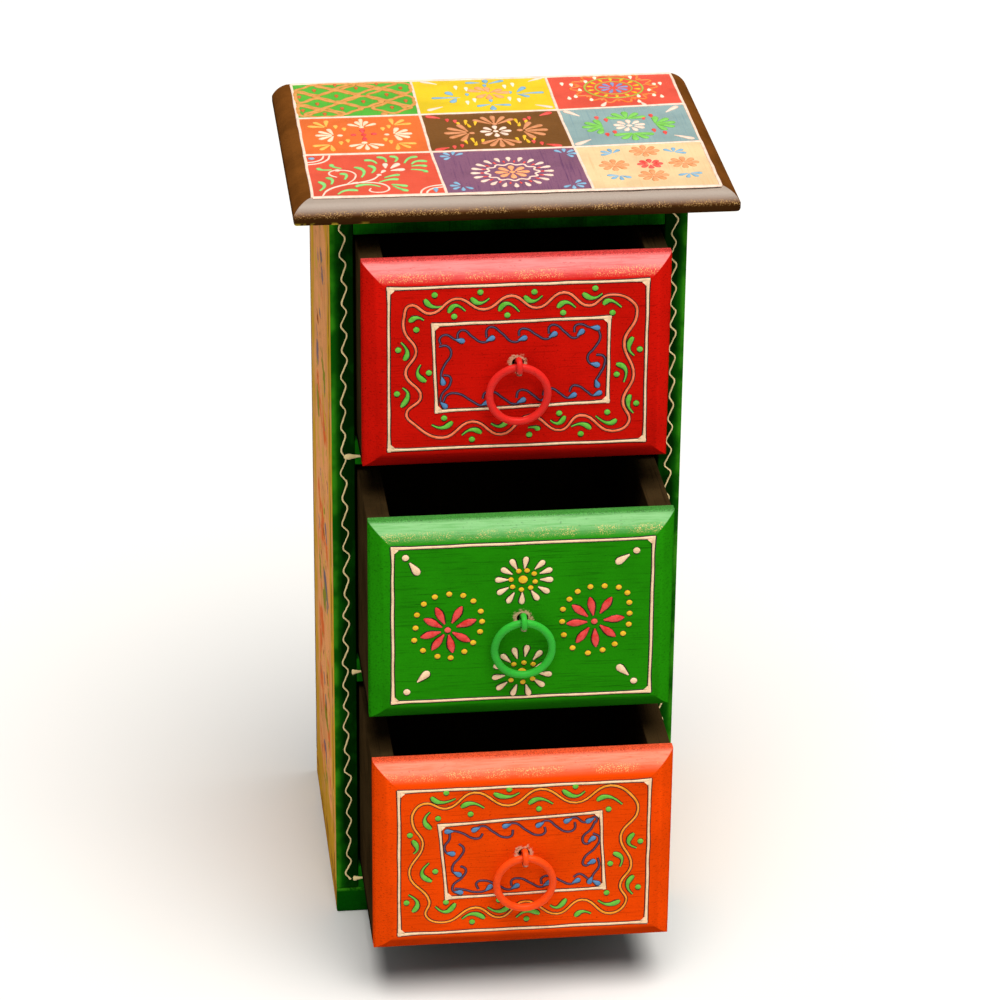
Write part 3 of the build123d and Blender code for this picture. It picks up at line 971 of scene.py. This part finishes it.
def raised_front(node):
    """One front: a block, planed in steps on its face, rubbed round, then bored right through."""
    low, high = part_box(node)
    piece = block(low + Vector((0, front_bevel_drop, 0)), high)
    select_faces(piece, lambda middle, normal: normal.y < -0.9)
    for inset, rise in plane_steps(front_bevel_width, front_bevel_drop, front_bevel_crown):
        bpy.ops.mesh.inset(thickness=inset, depth=rise)
    corner = high.x - 0.01 * mm
    select_edges(piece, lambda a, b: min(abs(a.x), abs(b.x)) > corner)
    bpy.ops.mesh.bevel(offset=front_rub, segments=2, affect="EDGES")
    bpy.ops.object.mode_set(mode="OBJECT")
    eye = Vector((0, (low.y + high.y) / 2, (low.z + high.z) / 2 + eye_rise))
    bpy.ops.mesh.primitive_cylinder_add(
        vertices=32, radius=bore_radius, depth=bore_length, location=eye, rotation=upright.to_euler()
    )
    drill = bpy.context.object
    bore = piece.modifiers.new("Bore", "BOOLEAN")
    bore.operation = "DIFFERENCE"
    bore.object = drill
    pick(piece)
    bpy.ops.object.modifier_apply(modifier=bore.name)
    bpy.data.objects.remove(drill)
    bpy.ops.object.shade_smooth_by_angle(angle=soft_edge)
    return piece, eye


def front_paint(name, ground, shade, highlight_tint, node, eye):
    """Front paint: grain, painted highlight above and shade below, gold flecks, chips round the bore."""
    low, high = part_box(node)
    material, tree, shader, place, colour = brushed_paint(
        name, ground, "x", shade, 0.75, patch=0.88, gloss=0.74, relief=0.35
    )
    x = work(tree, "ABSOLUTE", axis_of(tree, place, "x"))
    z = work(tree, "SUBTRACT", axis_of(tree, place, "z"), (low.z + high.z) / 2)
    ridge_z = (high.z - low.z) / 2 - front_bevel_width
    sideways = work(tree, "SUBTRACT", x, high.x - front_bevel_width)
    above = work(tree, "SUBTRACT", z, ridge_z)
    under = work(tree, "SUBTRACT", work(tree, "MULTIPLY", z, -1.0), ridge_z)
    beyond = work(tree, "MAXIMUM", sideways, work(tree, "MAXIMUM", above, under))
    upper = between(tree, work(tree, "SUBTRACT", above, sideways), -mitre_blur, mitre_blur)
    lower = between(tree, work(tree, "SUBTRACT", under, sideways), -mitre_blur, mitre_blur)
    streaks = between(tree, noise(tree, place, (90, 1400, 1400)), 0.3, 0.6)
    # Painted highlight: the upper bevel painted in a lighter tint of the ground, nearly to the rim.
    lit = (*(min(1.0, 1.15 * part) for part in ground[:3]), 1.0)
    bright = both(tree, between(tree, above, -2.6 * mm, 0.4 * mm), upper)
    bright = both(tree, bright, between(tree, above, 6.6 * mm, 4.6 * mm))
    colour = cover(tree, colour, lit, bright)
    # Painted sheen: a pale tint brushed in streaks over the upper bevel, glossier where it lies.
    sheen_mask = both(tree, between(tree, above, -0.2 * mm, 5.0 * mm), upper)
    sheen_mask = both(tree, sheen_mask, between(tree, above, 8.2 * mm, 6.4 * mm))
    sheen_mask = both(tree, sheen_mask, work(tree, "MULTIPLY_ADD", streaks, 0.35, 0.65))
    colour = cover(tree, colour, highlight_tint, sheen_mask)
    tree.links.new(both(tree, sheen_mask, 0.8), shader.inputs["Specular IOR Level"])
    grit = noise(tree, place, 2500, 2.0)
    flecks = work(tree, "ABSOLUTE", work(tree, "SUBTRACT", above, 2.6 * mm))
    flecks = both(tree, between(tree, flecks, 2.2 * mm, 0.6 * mm), between(tree, grit, 0.55, 0.62))
    worn_patch = noise(tree, place, 75)
    flecks = both(tree, flecks, between(tree, worn_patch, 0.4, 0.58))
    flecks = both(tree, both(tree, flecks, upper), 0.85)
    colour = cover(tree, colour, fleck_cream, flecks)
    scuffs = between(tree, noise(tree, place, (500, 1800, 1400), 3.0), 0.6, 0.68)
    scuffs = both(tree, scuffs, between(tree, worn_patch, 0.56, 0.44))
    scuffs = both(tree, scuffs, both(tree, sheen_mask, 0.6))
    colour = cover(tree, colour, shade, scuffs)
    rim = both(tree, between(tree, beyond, 6.6 * mm, 7.5 * mm), between(tree, grit, 0.42, 0.6))
    colour = cover(tree, colour, shade, both(tree, rim, 0.6))
    # Painted shade: the lower bevel painted darker.
    shaded = both(tree, between(tree, under, 0.2 * mm, 2.5 * mm), lower)
    colour = cover(tree, colour, shade, both(tree, shaded, 0.6))
    off = add(tree, "VectorMath", {0: place, 1: tuple(eye)}, operation="SUBTRACT").outputs[0]
    flat = add(tree, "VectorMath", {0: off, 1: (1, 0, 1)}, operation="MULTIPLY").outputs[0]
    reach = add(tree, "VectorMath", {0: flat}, operation="LENGTH").outputs["Value"]
    chipped = noise(tree, place, 620, 3.0)
    ragged = work(tree, "MULTIPLY_ADD", chipped, 5 * mm, work(tree, "SUBTRACT", reach, 2.5 * mm))
    chips = between(tree, ragged, 4.0 * mm, 3.0 * mm)
    bits = between(tree, noise(tree, place, 900), 0.54, 0.66)
    bare = cover(tree, bare_wood, bare_dark, bits)
    colour = cover(tree, colour, bare, both(tree, chips, 0.85))
    tree.links.new(colour, shader.inputs["Base Color"])
    return material


# Each front: its slot, ground, dark grain and the pale tint of its painted sheen.
front_finish = {
    "top": ("front_red", paint(204, 20, 10), paint(88, 5, 3), paint(255, 122, 120)),
    "middle": ("front_green", paint(34, 136, 10), paint(8, 54, 4), paint(119, 184, 112)),
    "bottom": ("front_orange", paint(238, 72, 6), paint(120, 26, 4), paint(252, 125, 94)),
}
front_faces = {}
for drawer in drawers:
    node = drawer + "_drawer_front"
    piece, eye = raised_front(node)
    slot, *paints = front_finish[drawer]
    finished(piece, node + "_planed", node, front_paint(slot, *paints, node, eye))
    front_faces[drawer] = on_front(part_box(node)[0].y, eye.z - eye_rise)

# Raised border of every front: a cream rectangle piped from the cone, its corners filled with
# paint. Leaves and scrolls are piped inside it the same way.
border_width = 0.96
border_below = 31.4


def bordered(corners):
    """Four ruled lines that thicken toward the corners, with a fillet of paint inside each."""
    strokes = []
    for start, end in zip(corners, corners[1:] + corners[:1]):
        over = tuple(0.6 * (b - a) / math.dist(start, end) for a, b in zip(start, end))
        first = (start[0] - over[0], start[1] - over[1])
        last = (end[0] + over[0], end[1] + over[1])
        points, widths, closed, steps = ruled(first, last, border_width)
        strokes.append((points, [1.5 * border_width, *widths[1:-1], 1.5 * border_width], closed, steps))
    middle = (sum(x for x, _ in corners) / 4, sum(y for _, y in corners) / 4)
    for x, y in corners:
        inward = (math.copysign(1, middle[0] - x), math.copysign(1, middle[1] - y))
        web = [(x + inward[0] * step, y + inward[1] * step) for step in (0.1, 0.8, 1.4)]
        strokes.append((web, [0.8, 1.5, 2.6], False, 3))
    return strokes


def outer_border(wide, above):
    """The outer border of a front: so far to both sides and above the middle."""
    return bordered([(-wide, above), (wide, above), (wide, -border_below), (-wide, -border_below)])


def sprigs(rows):
    """Comma leaves, each with the dot that goes with it."""
    strokes = []
    for head, middle, tail, seed in rows:
        strokes.append(comma(head, middle, tail, 2.05, 0.5))
        if seed:
            strokes.append(dot(*seed, 2.25))
    return strokes


def scroll(*points):
    """A running scroll: a thin dark line that starts in a hook."""
    return points, [0.44] * len(points), False, 6


def scroll_ends(scrolls):
    """The fat drop that each scroll ends in."""
    drops = []
    for points, *_ in scrolls:
        end = points[-1]
        run = [a - b for a, b in zip(end, points[-2])]
        x, y = (at - 0.8 * part / math.hypot(*run) for at, part in zip(end, run))
        drops.append(drop(x, y, 3.4, 2.1, math.degrees(math.atan2(run[1], run[0]))))
    return drops


# Red front: an orange wavy vine between two borders, leaves in its bends, blue scrolls inside
vine_orange = paint(252, 127, 84)
leaf_bright = paint(104, 190, 62)
scroll_blue = paint(84, 134, 182)
scroll_dark = paint(86, 72, 112)
red_vine = [
    (-40.9, 20.2), (-39.0, 24.7), (-31.5, 21.4), (-22.2, 26.8), (-12.3, 22.3), (-2.6, 27.2), (6.6, 22.2),
    (16.2, 27.8), (25.3, 22.3), (32.4, 26.2), (41.6, 22.6), (42.6, 17.8), (38.3, 7.8), (42.0, -5.4),
    (38.3, -15.5), (40.6, -24.0), (34.5, -27.2), (22.8, -20.5), (15.8, -26.1), (4.5, -19.9), (-5.8, -26.8),
    (-16.3, -21.3), (-27.0, -27.3), (-37.4, -21.4), (-40.1, -17.4), (-34.9, -10.8), (-40.4, -1.6),
    (-36.6, 7.0), (-40.8, 15.0),
]
red_leaves = (
    ((-33.5, 27.0), (-31.0, 24.2), (-27.0, 24.0), (-30.0, 28.5)),
    ((-17.0, 27.0), (-14.0, 24.8), (-10.5, 26.5), (-13.7, 29.0)),
    ((2.0, 27.0), (5.0, 24.8), (8.5, 26.8), (5.6, 28.4)),
    ((23.0, 27.3), (26.5, 25.2), (30.0, 26.8), (27.4, 29.0)),
    ((-25.0, 21.5), (-22.5, 24.2), (-19.0, 22.0), (-23.0, 20.0)),
    ((-7.0, 21.5), (-4.0, 24.3), (0.3, 21.0), (-4.0, 19.8)),
    ((14.0, 22.0), (17.0, 24.0), (20.5, 21.8), (16.0, 20.0)),
    ((30.5, 22.5), (33.0, 24.0), (37.0, 21.3), (33.8, 19.3)),
    ((-41.0, 3.8), (-39.8, 7.0), (-42.0, 10.7), (-43.0, 7.8)),
    ((-42.0, -14.5), (-39.6, -10.0), (-41.5, -7.0), (-43.5, -9.3)),
    ((-39.0, 18.5), (-36.5, 20.0), (-33.8, 19.0), (-36.5, 15.4)),
    ((-33.0, -4.8), (-36.0, -2.0), (-35.0, 1.8), (-32.0, -1.5)),
    ((41.5, 9.5), (40.0, 5.5), (42.0, 2.3), (44.0, 4.7)),
    ((41.0, -13.0), (40.3, -17.0), (42.2, -20.3), (43.2, -16.5)),
    ((35.5, -0.8), (39.0, -3.0), (38.5, -8.0), (35.8, -4.8)),
    ((-23.5, -21.0), (-27.0, -23.3), (-31.0, -22.0), (-26.5, -19.5)),
    ((-3.0, -20.5), (-6.0, -23.5), (-9.5, -22.3), None),
    ((17.3, -20.5), (15.0, -23.3), (12.0, -22.0), (15.2, -19.3)),
    ((36.0, -22.5), (33.0, -24.0), (28.5, -21.0), (32.7, -19.6)),
    ((-13.0, -26.0), (-16.5, -24.5), (-20.0, -26.5), (-16.4, -28.3)),
    ((7.8, -25.8), (6.6, -24.6), (4.0, -24.5), (4.4, -27.3)),
    ((26.8, -26.0), (23.5, -24.0), (19.7, -24.8), (23.2, -27.8)),
)
red_scrolls = [
    scroll((-27.8, 9.4), (-28.2, 11.6), (-26.0, 13.0), (-22.5, 11.0), (-20.0, 10.4)),
    scroll((-21.8, 11.0), (-21.4, 13.8), (-19.6, 14.6), (-16.5, 12.0), (-12.5, 9.6), (-9.2, 11.2)),
    scroll((-11.4, 11.4), (-11.2, 14.6), (-9.6, 15.5), (-6.0, 13.0), (-1.6, 9.3), (2.4, 10.8)),
    scroll((0.2, 11.6), (0.6, 13.9), (2.6, 14.3), (6.6, 11.8), (10.2, 10.0), (13.2, 12.0)),
    scroll((11.0, 12.0), (11.2, 14.8), (13.2, 15.4), (17.0, 12.3), (20.4, 10.0), (23.0, 12.6)),
    scroll((20.2, 12.2), (20.4, 14.6), (22.4, 15.3), (25.6, 14.0), (28.6, 13.6)),
    scroll((-28.4, 8.6), (-25.4, 8.6), (-24.0, 5.6), (-26.4, 1.2), (-27.6, -2.6), (-26.8, -5.8)),
    scroll((-26.8, -2.6), (-24.4, -3.4), (-24.4, -6.4), (-27.4, -10.4), (-27.6, -13.4), (-26.0, -15.0)),
    scroll((-26.8, -13.0), (-25.4, -10.4), (-21.6, -10.0), (-16.4, -13.2), (-13.0, -15.0), (-10.6, -13.8)),
    scroll((-12.6, -12.4), (-11.8, -10.2), (-9.0, -9.8), (-5.0, -12.6), (-1.0, -15.0), (2.2, -13.4)),
    scroll((-0.4, -12.6), (0.4, -9.9), (2.6, -9.6), (6.0, -12.0), (8.8, -14.0), (11.0, -12.8)),
    scroll((9.2, -12.0), (10.0, -9.8), (12.4, -9.4), (15.6, -11.6), (18.4, -13.4), (20.6, -12.2)),
    scroll((18.8, -11.0), (19.8, -8.8), (22.0, -8.8), (25.0, -11.0), (27.6, -12.8), (29.8, -11.8)),
    scroll((28.8, 13.2), (29.6, 9.8), (27.4, 5.6), (25.2, 2.6), (26.2, -0.2), (28.8, -0.8)),
    scroll((28.2, 3.2), (31.0, 2.4), (31.2, -1.2), (29.6, -4.6), (28.4, -7.2), (29.0, -9.0)),
]
red_strokes = {
    cream: outer_border(46.4, 31.4) + bordered([(-30.5, 17.0), (32.8, 17.6), (32.8, -15.3), (-29.3, -16.8)]),
    vine_orange: [pull(red_vine, 0.95, closed=True)],
    leaf_bright: sprigs(red_leaves),
    scroll_dark: red_scrolls,
    scroll_blue: scroll_ends(red_scrolls),
}

# Green front: four flowers of teardrops and dots round the pull, and a drop in each corner
rose_pink = paint(230, 72, 68)
blossom_gold = paint(238, 188, 34)


def spindles(middle, places):
    """Long petals, fat in the middle and pointed at both ends, that stand round a middle."""
    strokes = []
    for x, y in places:
        reach = math.dist(middle, (x, y))
        out = ((x - middle[0]) / reach, (y - middle[1]) / reach)
        points = [(x + run * out[0], y + run * out[1]) for run in (-3.7, -2.4, -0.5, 1.3, 2.9, 3.9)]
        strokes.append((points, [0.6, 1.4, 2.7, 2.9, 1.8, 0.5], False, 3))
    return strokes


upper_petals = (
    (0.8, 23.6), (6.0, 22.4), (8.3, 19.8), (8.6, 16.4), (7.6, 12.4), (4.4, 10.2), (-0.3, 9.2), (-4.4, 9.6),
    (-7.3, 12.6), (-7.8, 17.0), (-6.0, 20.3), (-3.4, 23.0),
)
upper_seeds = (
    (-1.6, 20.3), (1.4, 20.4), (4.0, 19.0), (4.4, 15.8), (2.8, 13.4), (-0.6, 12.8), (-3.8, 14.0),
    (-4.4, 17.0),
)
lower_petals = (
    (1.5, -12.4), (-2.5, -13.2), (-6.0, -15.2), (5.6, -14.4), (7.3, -18.4), (-8.6, -22.6), (-7.3, -26.4),
    (-2.7, -28.4), (2.2, -28.6), (6.4, -25.8), (8.7, -22.2), (-8.2, -18.6),
)
lower_seeds = (
    (-3.0, -17.7), (0.7, -17.2), (4.1, -18.0), (5.0, -20.6), (-5.3, -20.4), (-4.0, -24.2), (0.4, -25.2),
    (4.0, -24.0),
)
left_petals = (
    (-30.0, 3.4), (-24.0, 3.6), (-20.6, 0.0), (-22.4, -5.4), (-26.2, -8.0), (-30.8, -7.2),
    (-33.4, -4.0), (-32.6, 0.6),
)
left_seeds = (
    (-32.0, 11.3), (-26.8, 12.2), (-21.7, 11.4), (-18.0, 9.0), (-15.3, 4.7), (-14.8, 0.5),
    (-15.5, -3.6), (-18.0, -8.0), (-21.2, -11.5), (-26.2, -13.8), (-31.0, -13.0), (-36.3, -10.3),
    (-39.5, -6.0), (-39.0, -1.0), (-38.5, 4.3), (-36.0, 8.6),
)
right_petals = (
    (25.2, 4.6), (30.4, 4.8), (21.0, 3.0), (33.4, -0.8), (20.0, -1.8), (31.2, -5.6), (26.8, -8.2),
    (22.2, -6.9),
)
right_seeds = (
    (24.6, 12.7), (29.8, 12.8), (35.0, 12.0), (38.2, 9.6), (39.0, 5.6), (39.2, 1.2), (39.0, -3.3),
    (37.0, -7.0), (34.0, -11.2), (29.6, -13.4), (24.2, -14.4), (18.5, -12.0), (15.2, -6.5),
    (14.5, -1.0), (14.7, 4.0), (17.0, 8.0), (20.0, 11.0),
)
corner_dots = ((-42.6, 27.5), (41.2, 26.6), (-42.2, -27.2), (41.4, -26.8))
corner_tears = ((-39.4, 23.0, -55), (36.2, 23.4, 214), (-36.2, -21.2, 44), (37.2, -22.2, 136))
green_strokes = {
    cream: outer_border(47.3, 31.4)
    + [dot(x, y, 2.6) for x, y in corner_dots]
    + turned_drops(corner_tears, 6.0, 3.0)
    + petals((0, 16.8), upper_petals, 4.8, 2.3)
    + petals((0, -21.0), lower_petals, 4.8, 2.3),
    rose_pink: spindles((-27.3, -2.4), left_petals) + spindles((26.3, -1.5), right_petals),
    blossom_gold: [dot(x, y, 2.0) for x, y in upper_seeds + lower_seeds]
    + [dot(x, y, 2.2) for x, y in left_seeds + right_seeds]
    + [dot(0, 16.8, 3.4), dot(0, -21.0, 3.4)],
    coral: [dot(-27.3, -2.4, 2.4), dot(26.3, -1.5, 2.4)],
}

# Orange front: the red front's pattern with an amber vine and rounder scrolls
vine_amber = paint(252, 158, 38)
orange_vine = [
    (-40.9, 21.2), (-37.0, 24.3), (-28.8, 21.8), (-18.8, 28.0), (-5.9, 21.8), (5.8, 28.2), (19.1, 21.6),
    (31.6, 28.2), (40.0, 23.2), (42.2, 17.0), (36.0, 6.4), (40.2, -6.4), (36.2, -14.8), (38.6, -22.0),
    (32.8, -26.9), (22.0, -20.3), (12.8, -25.9), (0.3, -19.7), (-8.8, -26.1), (-18.0, -21.3),
    (-29.3, -27.0), (-36.4, -24.0), (-35.2, -17.6), (-42.7, -5.6), (-37.6, 7.2), (-41.4, 15.8),
]
orange_leaves = (
    ((-34.5, 27.0), (-31.0, 24.5), (-25.5, 25.8), (-29.0, 28.5)),
    ((-11.5, 27.3), (-6.5, 25.5), (-2.0, 27.0), (-5.8, 28.7)),
    ((14.0, 27.3), (18.5, 24.4), (22.3, 26.3), (18.7, 28.6)),
    ((-23.5, 22.0), (-19.5, 23.5), (-15.0, 21.3), (-20.0, 19.0)),
    ((1.5, 22.0), (5.5, 24.0), (10.5, 21.6), (5.3, 19.8)),
    ((26.8, 22.0), (31.0, 23.5), (36.3, 20.0), (31.2, 18.2)),
    ((-34.5, 13.5), (-37.0, 17.0), (-35.0, 20.7), (-32.0, 17.8)),
    ((-41.5, 9.0), (-39.7, 5.5), (-41.0, 3.3), (-42.4, 11.2)),
    ((-34.3, -9.0), (-38.0, -5.5), (-35.3, -1.0), (-33.0, -4.8)),
    ((-41.5, -21.8), (-39.7, -18.0), (-43.0, -14.3), (-43.7, -17.7)),
    ((41.0, 7.3), (39.0, 3.5), (42.0, 1.0), (43.4, 3.8)),
    ((33.3, -0.8), (36.5, -3.0), (36.0, -6.8), (32.3, -5.2)),
    ((41.3, -11.0), (39.0, -15.0), (41.0, -19.0), (43.0, -16.0)),
    ((-25.5, -19.0), (-29.0, -22.5), (-33.0, -20.0), (-29.0, -18.3)),
    ((-5.0, -21.0), (-9.0, -23.5), (-13.5, -21.5), (-9.2, -18.5)),
    ((16.0, -19.5), (13.0, -23.0), (10.0, -22.0), None),
    ((36.3, -21.5), (32.0, -23.0), (28.0, -21.0), (31.2, -17.8)),
    ((-14.5, -26.2), (-19.0, -24.0), (-23.0, -26.0), (-19.2, -27.4)),
    ((6.0, -25.5), (1.5, -24.0), (-2.7, -26.5), (1.2, -27.3)),
    ((19.5, -27.5), (22.0, -25.5), (25.5, -26.5), None),
)
orange_scrolls = [
    scroll((-15.4, 10.4), (-16.6, 8.6), (-19.6, 8.8), (-22.6, 10.8), (-26.0, 12.0), (-28.8, 12.0)),
    scroll((-4.2, 11.4), (-4.8, 8.8), (-7.6, 8.4), (-11.4, 10.8), (-15.4, 13.6), (-18.8, 12.0)),
    scroll((7.6, 12.0), (7.6, 9.4), (4.8, 8.6), (0.6, 11.0), (-3.8, 14.2), (-7.4, 13.0)),
    scroll((18.8, 13.4), (18.6, 10.4), (15.8, 9.4), (12.0, 11.8), (8.4, 14.6), (5.0, 12.6)),
    scroll((25.8, 14.6), (22.4, 13.0), (18.6, 15.4), (15.4, 13.8)),
    scroll((26.6, 12.6), (26.6, 15.0), (23.6, 13.4)),
    scroll((-27.6, 11.4), (-27.8, 8.6), (-29.6, 5.4), (-28.6, 2.8), (-26.4, 2.4)),
    scroll((-24.2, 6.6), (-22.4, 4.4), (-23.8, 0.8), (-26.4, -2.6), (-26.4, -5.4), (-24.0, -6.8)),
    scroll((-23.6, -3.0), (-21.6, -4.6), (-23.0, -8.0), (-26.4, -11.4), (-26.0, -14.0), (-23.4, -14.4)),
    scroll((-25.8, -12.6), (-22.4, -13.2), (-17.6, -14.6), (-14.0, -14.0), (-12.4, -12.4)),
    scroll((-17.0, -13.4), (-17.6, -10.6), (-14.6, -9.8), (-9.8, -12.0), (-5.4, -14.2), (-2.4, -12.6)),
    scroll((-4.6, -12.8), (-4.4, -10.2), (-1.4, -9.6), (2.6, -11.8), (6.6, -13.8), (9.6, -12.0)),
    scroll((6.6, -12.6), (6.8, -9.8), (9.6, -9.2), (14.0, -11.6), (17.6, -13.2), (20.4, -11.6)),
    scroll((18.6, -10.2), (20.8, -9.0), (24.0, -11.2), (28.0, -13.6)),
    scroll((26.4, 13.4), (24.8, 10.0), (21.8, 6.4), (23.0, 3.8), (25.8, 6.2)),
    scroll((25.6, 8.2), (28.0, 6.4), (26.6, 2.0), (22.4, -2.6), (22.6, -5.4), (26.0, -3.8)),
    scroll((27.6, -2.4), (28.2, -6.0), (26.2, -9.4), (24.6, -12.8)),
]
orange_strokes = {
    cream: outer_border(46.4, 29.6) + bordered([(-31.5, 14.7), (28.3, 17.0), (30.2, -15.5), (-28.8, -16.6)]),
    vine_amber: [pull(orange_vine, 0.85, closed=True)],
    leaf_bright: sprigs(orange_leaves),
    scroll_dark: orange_scrolls,
    scroll_blue: scroll_ends(orange_scrolls),
}
front_strokes = {
    "top": (red_strokes, paint(48, 5, 4)),
    "middle": (green_strokes, paint(18, 26, 4)),
    "bottom": (orange_strokes, paint(80, 20, 6)),
}
for drawer, (strokes, glaze) in front_strokes.items():
    lines = laid(drawer + "_drawer_raised_lines", strokes, front_faces[drawer], glaze, 0.75)
    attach(lines, drawer + "_drawer")

# Pulls: a split pin of flat steel wire pushed through each front, its tails turned over
# inside, with a wire ring in its eye. Both were brushed with the front's own paint, which
# has worn off where the ring rubs the eye.


def drawn_wire(node, widen, waver):
    """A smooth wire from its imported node: merged, widened across, rounded, a little uneven."""
    piece = bpy.data.objects.new(node, nodes[node].data.copy())
    bpy.context.scene.collection.objects.link(piece)
    pick(piece)
    bpy.ops.object.mode_set(mode="EDIT")
    bpy.ops.mesh.select_all(action="SELECT")
    bpy.ops.mesh.remove_doubles(threshold=0.001 * mm)
    bpy.ops.mesh.dissolve_limited(angle_limit=math.radians(2))
    bpy.ops.mesh.normals_make_consistent(inside=False)
    bpy.ops.object.mode_set(mode="OBJECT")
    piece.data.transform(Matrix.Diagonal((widen, 1, 1, 1)))
    rounder = piece.modifiers.new("Drawn", "SUBSURF")
    rounder.levels = 2
    rounder.render_levels = 2
    bpy.ops.object.modifier_apply(modifier=rounder.name)
    if waver:
        lumps = bpy.data.textures.new(node + "_lumps", "CLOUDS")
        lumps.noise_scale = 4 * mm
        uneven = piece.modifiers.new("Uneven", "DISPLACE")
        uneven.texture = lumps
        uneven.texture_coords = "LOCAL"
        uneven.strength = waver
        uneven.mid_level = 0.5
        bpy.ops.object.modifier_apply(modifier=uneven.name)
    bpy.ops.object.shade_smooth()
    return piece


def pull_paint(name, ground, shade, eye, wear_low, wear_high):
    """The front's paint over steel, worn through between two heights of the eye."""
    material, tree, shader, place, colour = brushed_paint(
        name, ground, "x", shade, 0.35, patch=0.85, gloss=0.36, relief=0.2, sheen=0.1
    )
    z = work(tree, "SUBTRACT", axis_of(tree, place, "z"), eye.z)
    grit = noise(tree, place, 800, 3.0)
    low = work(tree, "MULTIPLY_ADD", grit, 2 * mm, z)
    worn = between(tree, low, wear_low, wear_high)
    steel = cover(tree, paint(176, 160, 142), paint(96, 74, 56), between(tree, grit, 0.42, 0.62))
    tree.links.new(cover(tree, colour, steel, worn), shader.inputs["Base Color"])
    tree.links.new(both(tree, worn, 0.6), shader.inputs["Metallic"])
    return material


pull_finish = {
    "top": ("pull_red", paint(224, 40, 34), paint(130, 16, 12)),
    "middle": ("pull_green", paint(50, 174, 52), paint(18, 96, 16)),
    "bottom": ("pull_orange", paint(244, 76, 18), paint(160, 40, 8)),
}
for drawer in drawers:
    slot, ground, shade = pull_finish[drawer]
    node = drawer + "_drawer_split_pin"
    low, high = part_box(node)
    eye = (low + high) / 2
    pin = drawn_wire(node, 1.45, 0)
    pin_paint = pull_paint(slot + "_eye", ground, shade, eye, 0.2 * mm, -1.2 * mm)
    finished(pin, node + "_bent", node, pin_paint)
    node = drawer + "_drawer_ring"
    ring = drawn_wire(node, 1.0, 0.22 * mm)
    ring_paint = pull_paint(slot, ground, shade, eye, 40 * mm, 60 * mm)
    finished(ring, node + "_bent", node, ring_paint)

# Floor: a pale seamless sheet of studio paper. It carries the box and its soft shadow, and is
# no piece of the object.
bpy.ops.object.select_all(action="DESELECT")
bpy.ops.mesh.primitive_plane_add(size=12, location=(0, 0, cad_low.z))
floor = bpy.context.object
floor.name = "studio_floor"
paper = bpy.data.materials.new("studio_paper")
paper.use_nodes = True
paper_shader = paper.node_tree.nodes["Principled BSDF"]
paper_shader.inputs["Base Color"].default_value = (0.75, 0.75, 0.745, 1.0)
paper_shader.inputs["Roughness"].default_value = 0.9
floor.data.materials.append(paper)

# Light: a wide bank of lamps overhead, soft and even as a bright overcast sky, in a dim room
# with white walls.
room = bpy.data.worlds.new("white_room")
bpy.context.scene.world = room
room.use_nodes = True
room.node_tree.nodes["Background"].inputs["Color"].default_value = (1.0, 1.0, 1.0, 1.0)
room.node_tree.nodes["Background"].inputs["Strength"].default_value = 0.2
bank_from = Vector((0.1, -0.28, 1.0))
bank_turn = bank_from.to_track_quat("Z", "Y").to_euler()
bpy.ops.object.light_add(type="SUN", location=bank_from, rotation=bank_turn)
bank = bpy.context.object
bank.name = "overhead_bank"
bank.data.energy = 4.2
bank.data.angle = math.radians(50)
bank.data.color = (1.0, 0.97, 0.92)

# Camera: at the photograph's place, a little above and to the left of the front. Its lens and
# distance were fitted to the corners of the box.
camera_yaw = math.radians(6.751)
camera_pitch = math.radians(25.709)
camera_roll = math.radians(0.572)
camera_target = Vector((4.104, 0, 148.429)) * mm
camera_distance = 1489.1 * mm
ahead = Vector(
    (
        math.sin(camera_yaw) * math.cos(camera_pitch),
        math.cos(camera_yaw) * math.cos(camera_pitch),
        -math.sin(camera_pitch),
    )
)
level_right = Vector((math.cos(camera_yaw), -math.sin(camera_yaw), 0))
level_up = level_right.cross(ahead)
right = math.cos(camera_roll) * level_right + math.sin(camera_roll) * level_up
up = math.cos(camera_roll) * level_up - math.sin(camera_roll) * level_right
camera_data = bpy.data.cameras.new("photo_camera")
camera_data.lens = 137.94
camera_data.sensor_width = 36
camera_data.clip_start = 0.05
camera = bpy.data.objects.new("photo_camera", camera_data)
bpy.context.scene.collection.objects.link(camera)
turn = Matrix((right, up, -ahead)).transposed().to_4x4()
camera.matrix_world = Matrix.Translation(camera_target - camera_distance * ahead) @ turn
bpy.context.scene.camera = camera
bpy.context.scene.view_settings.view_transform = "Standard"
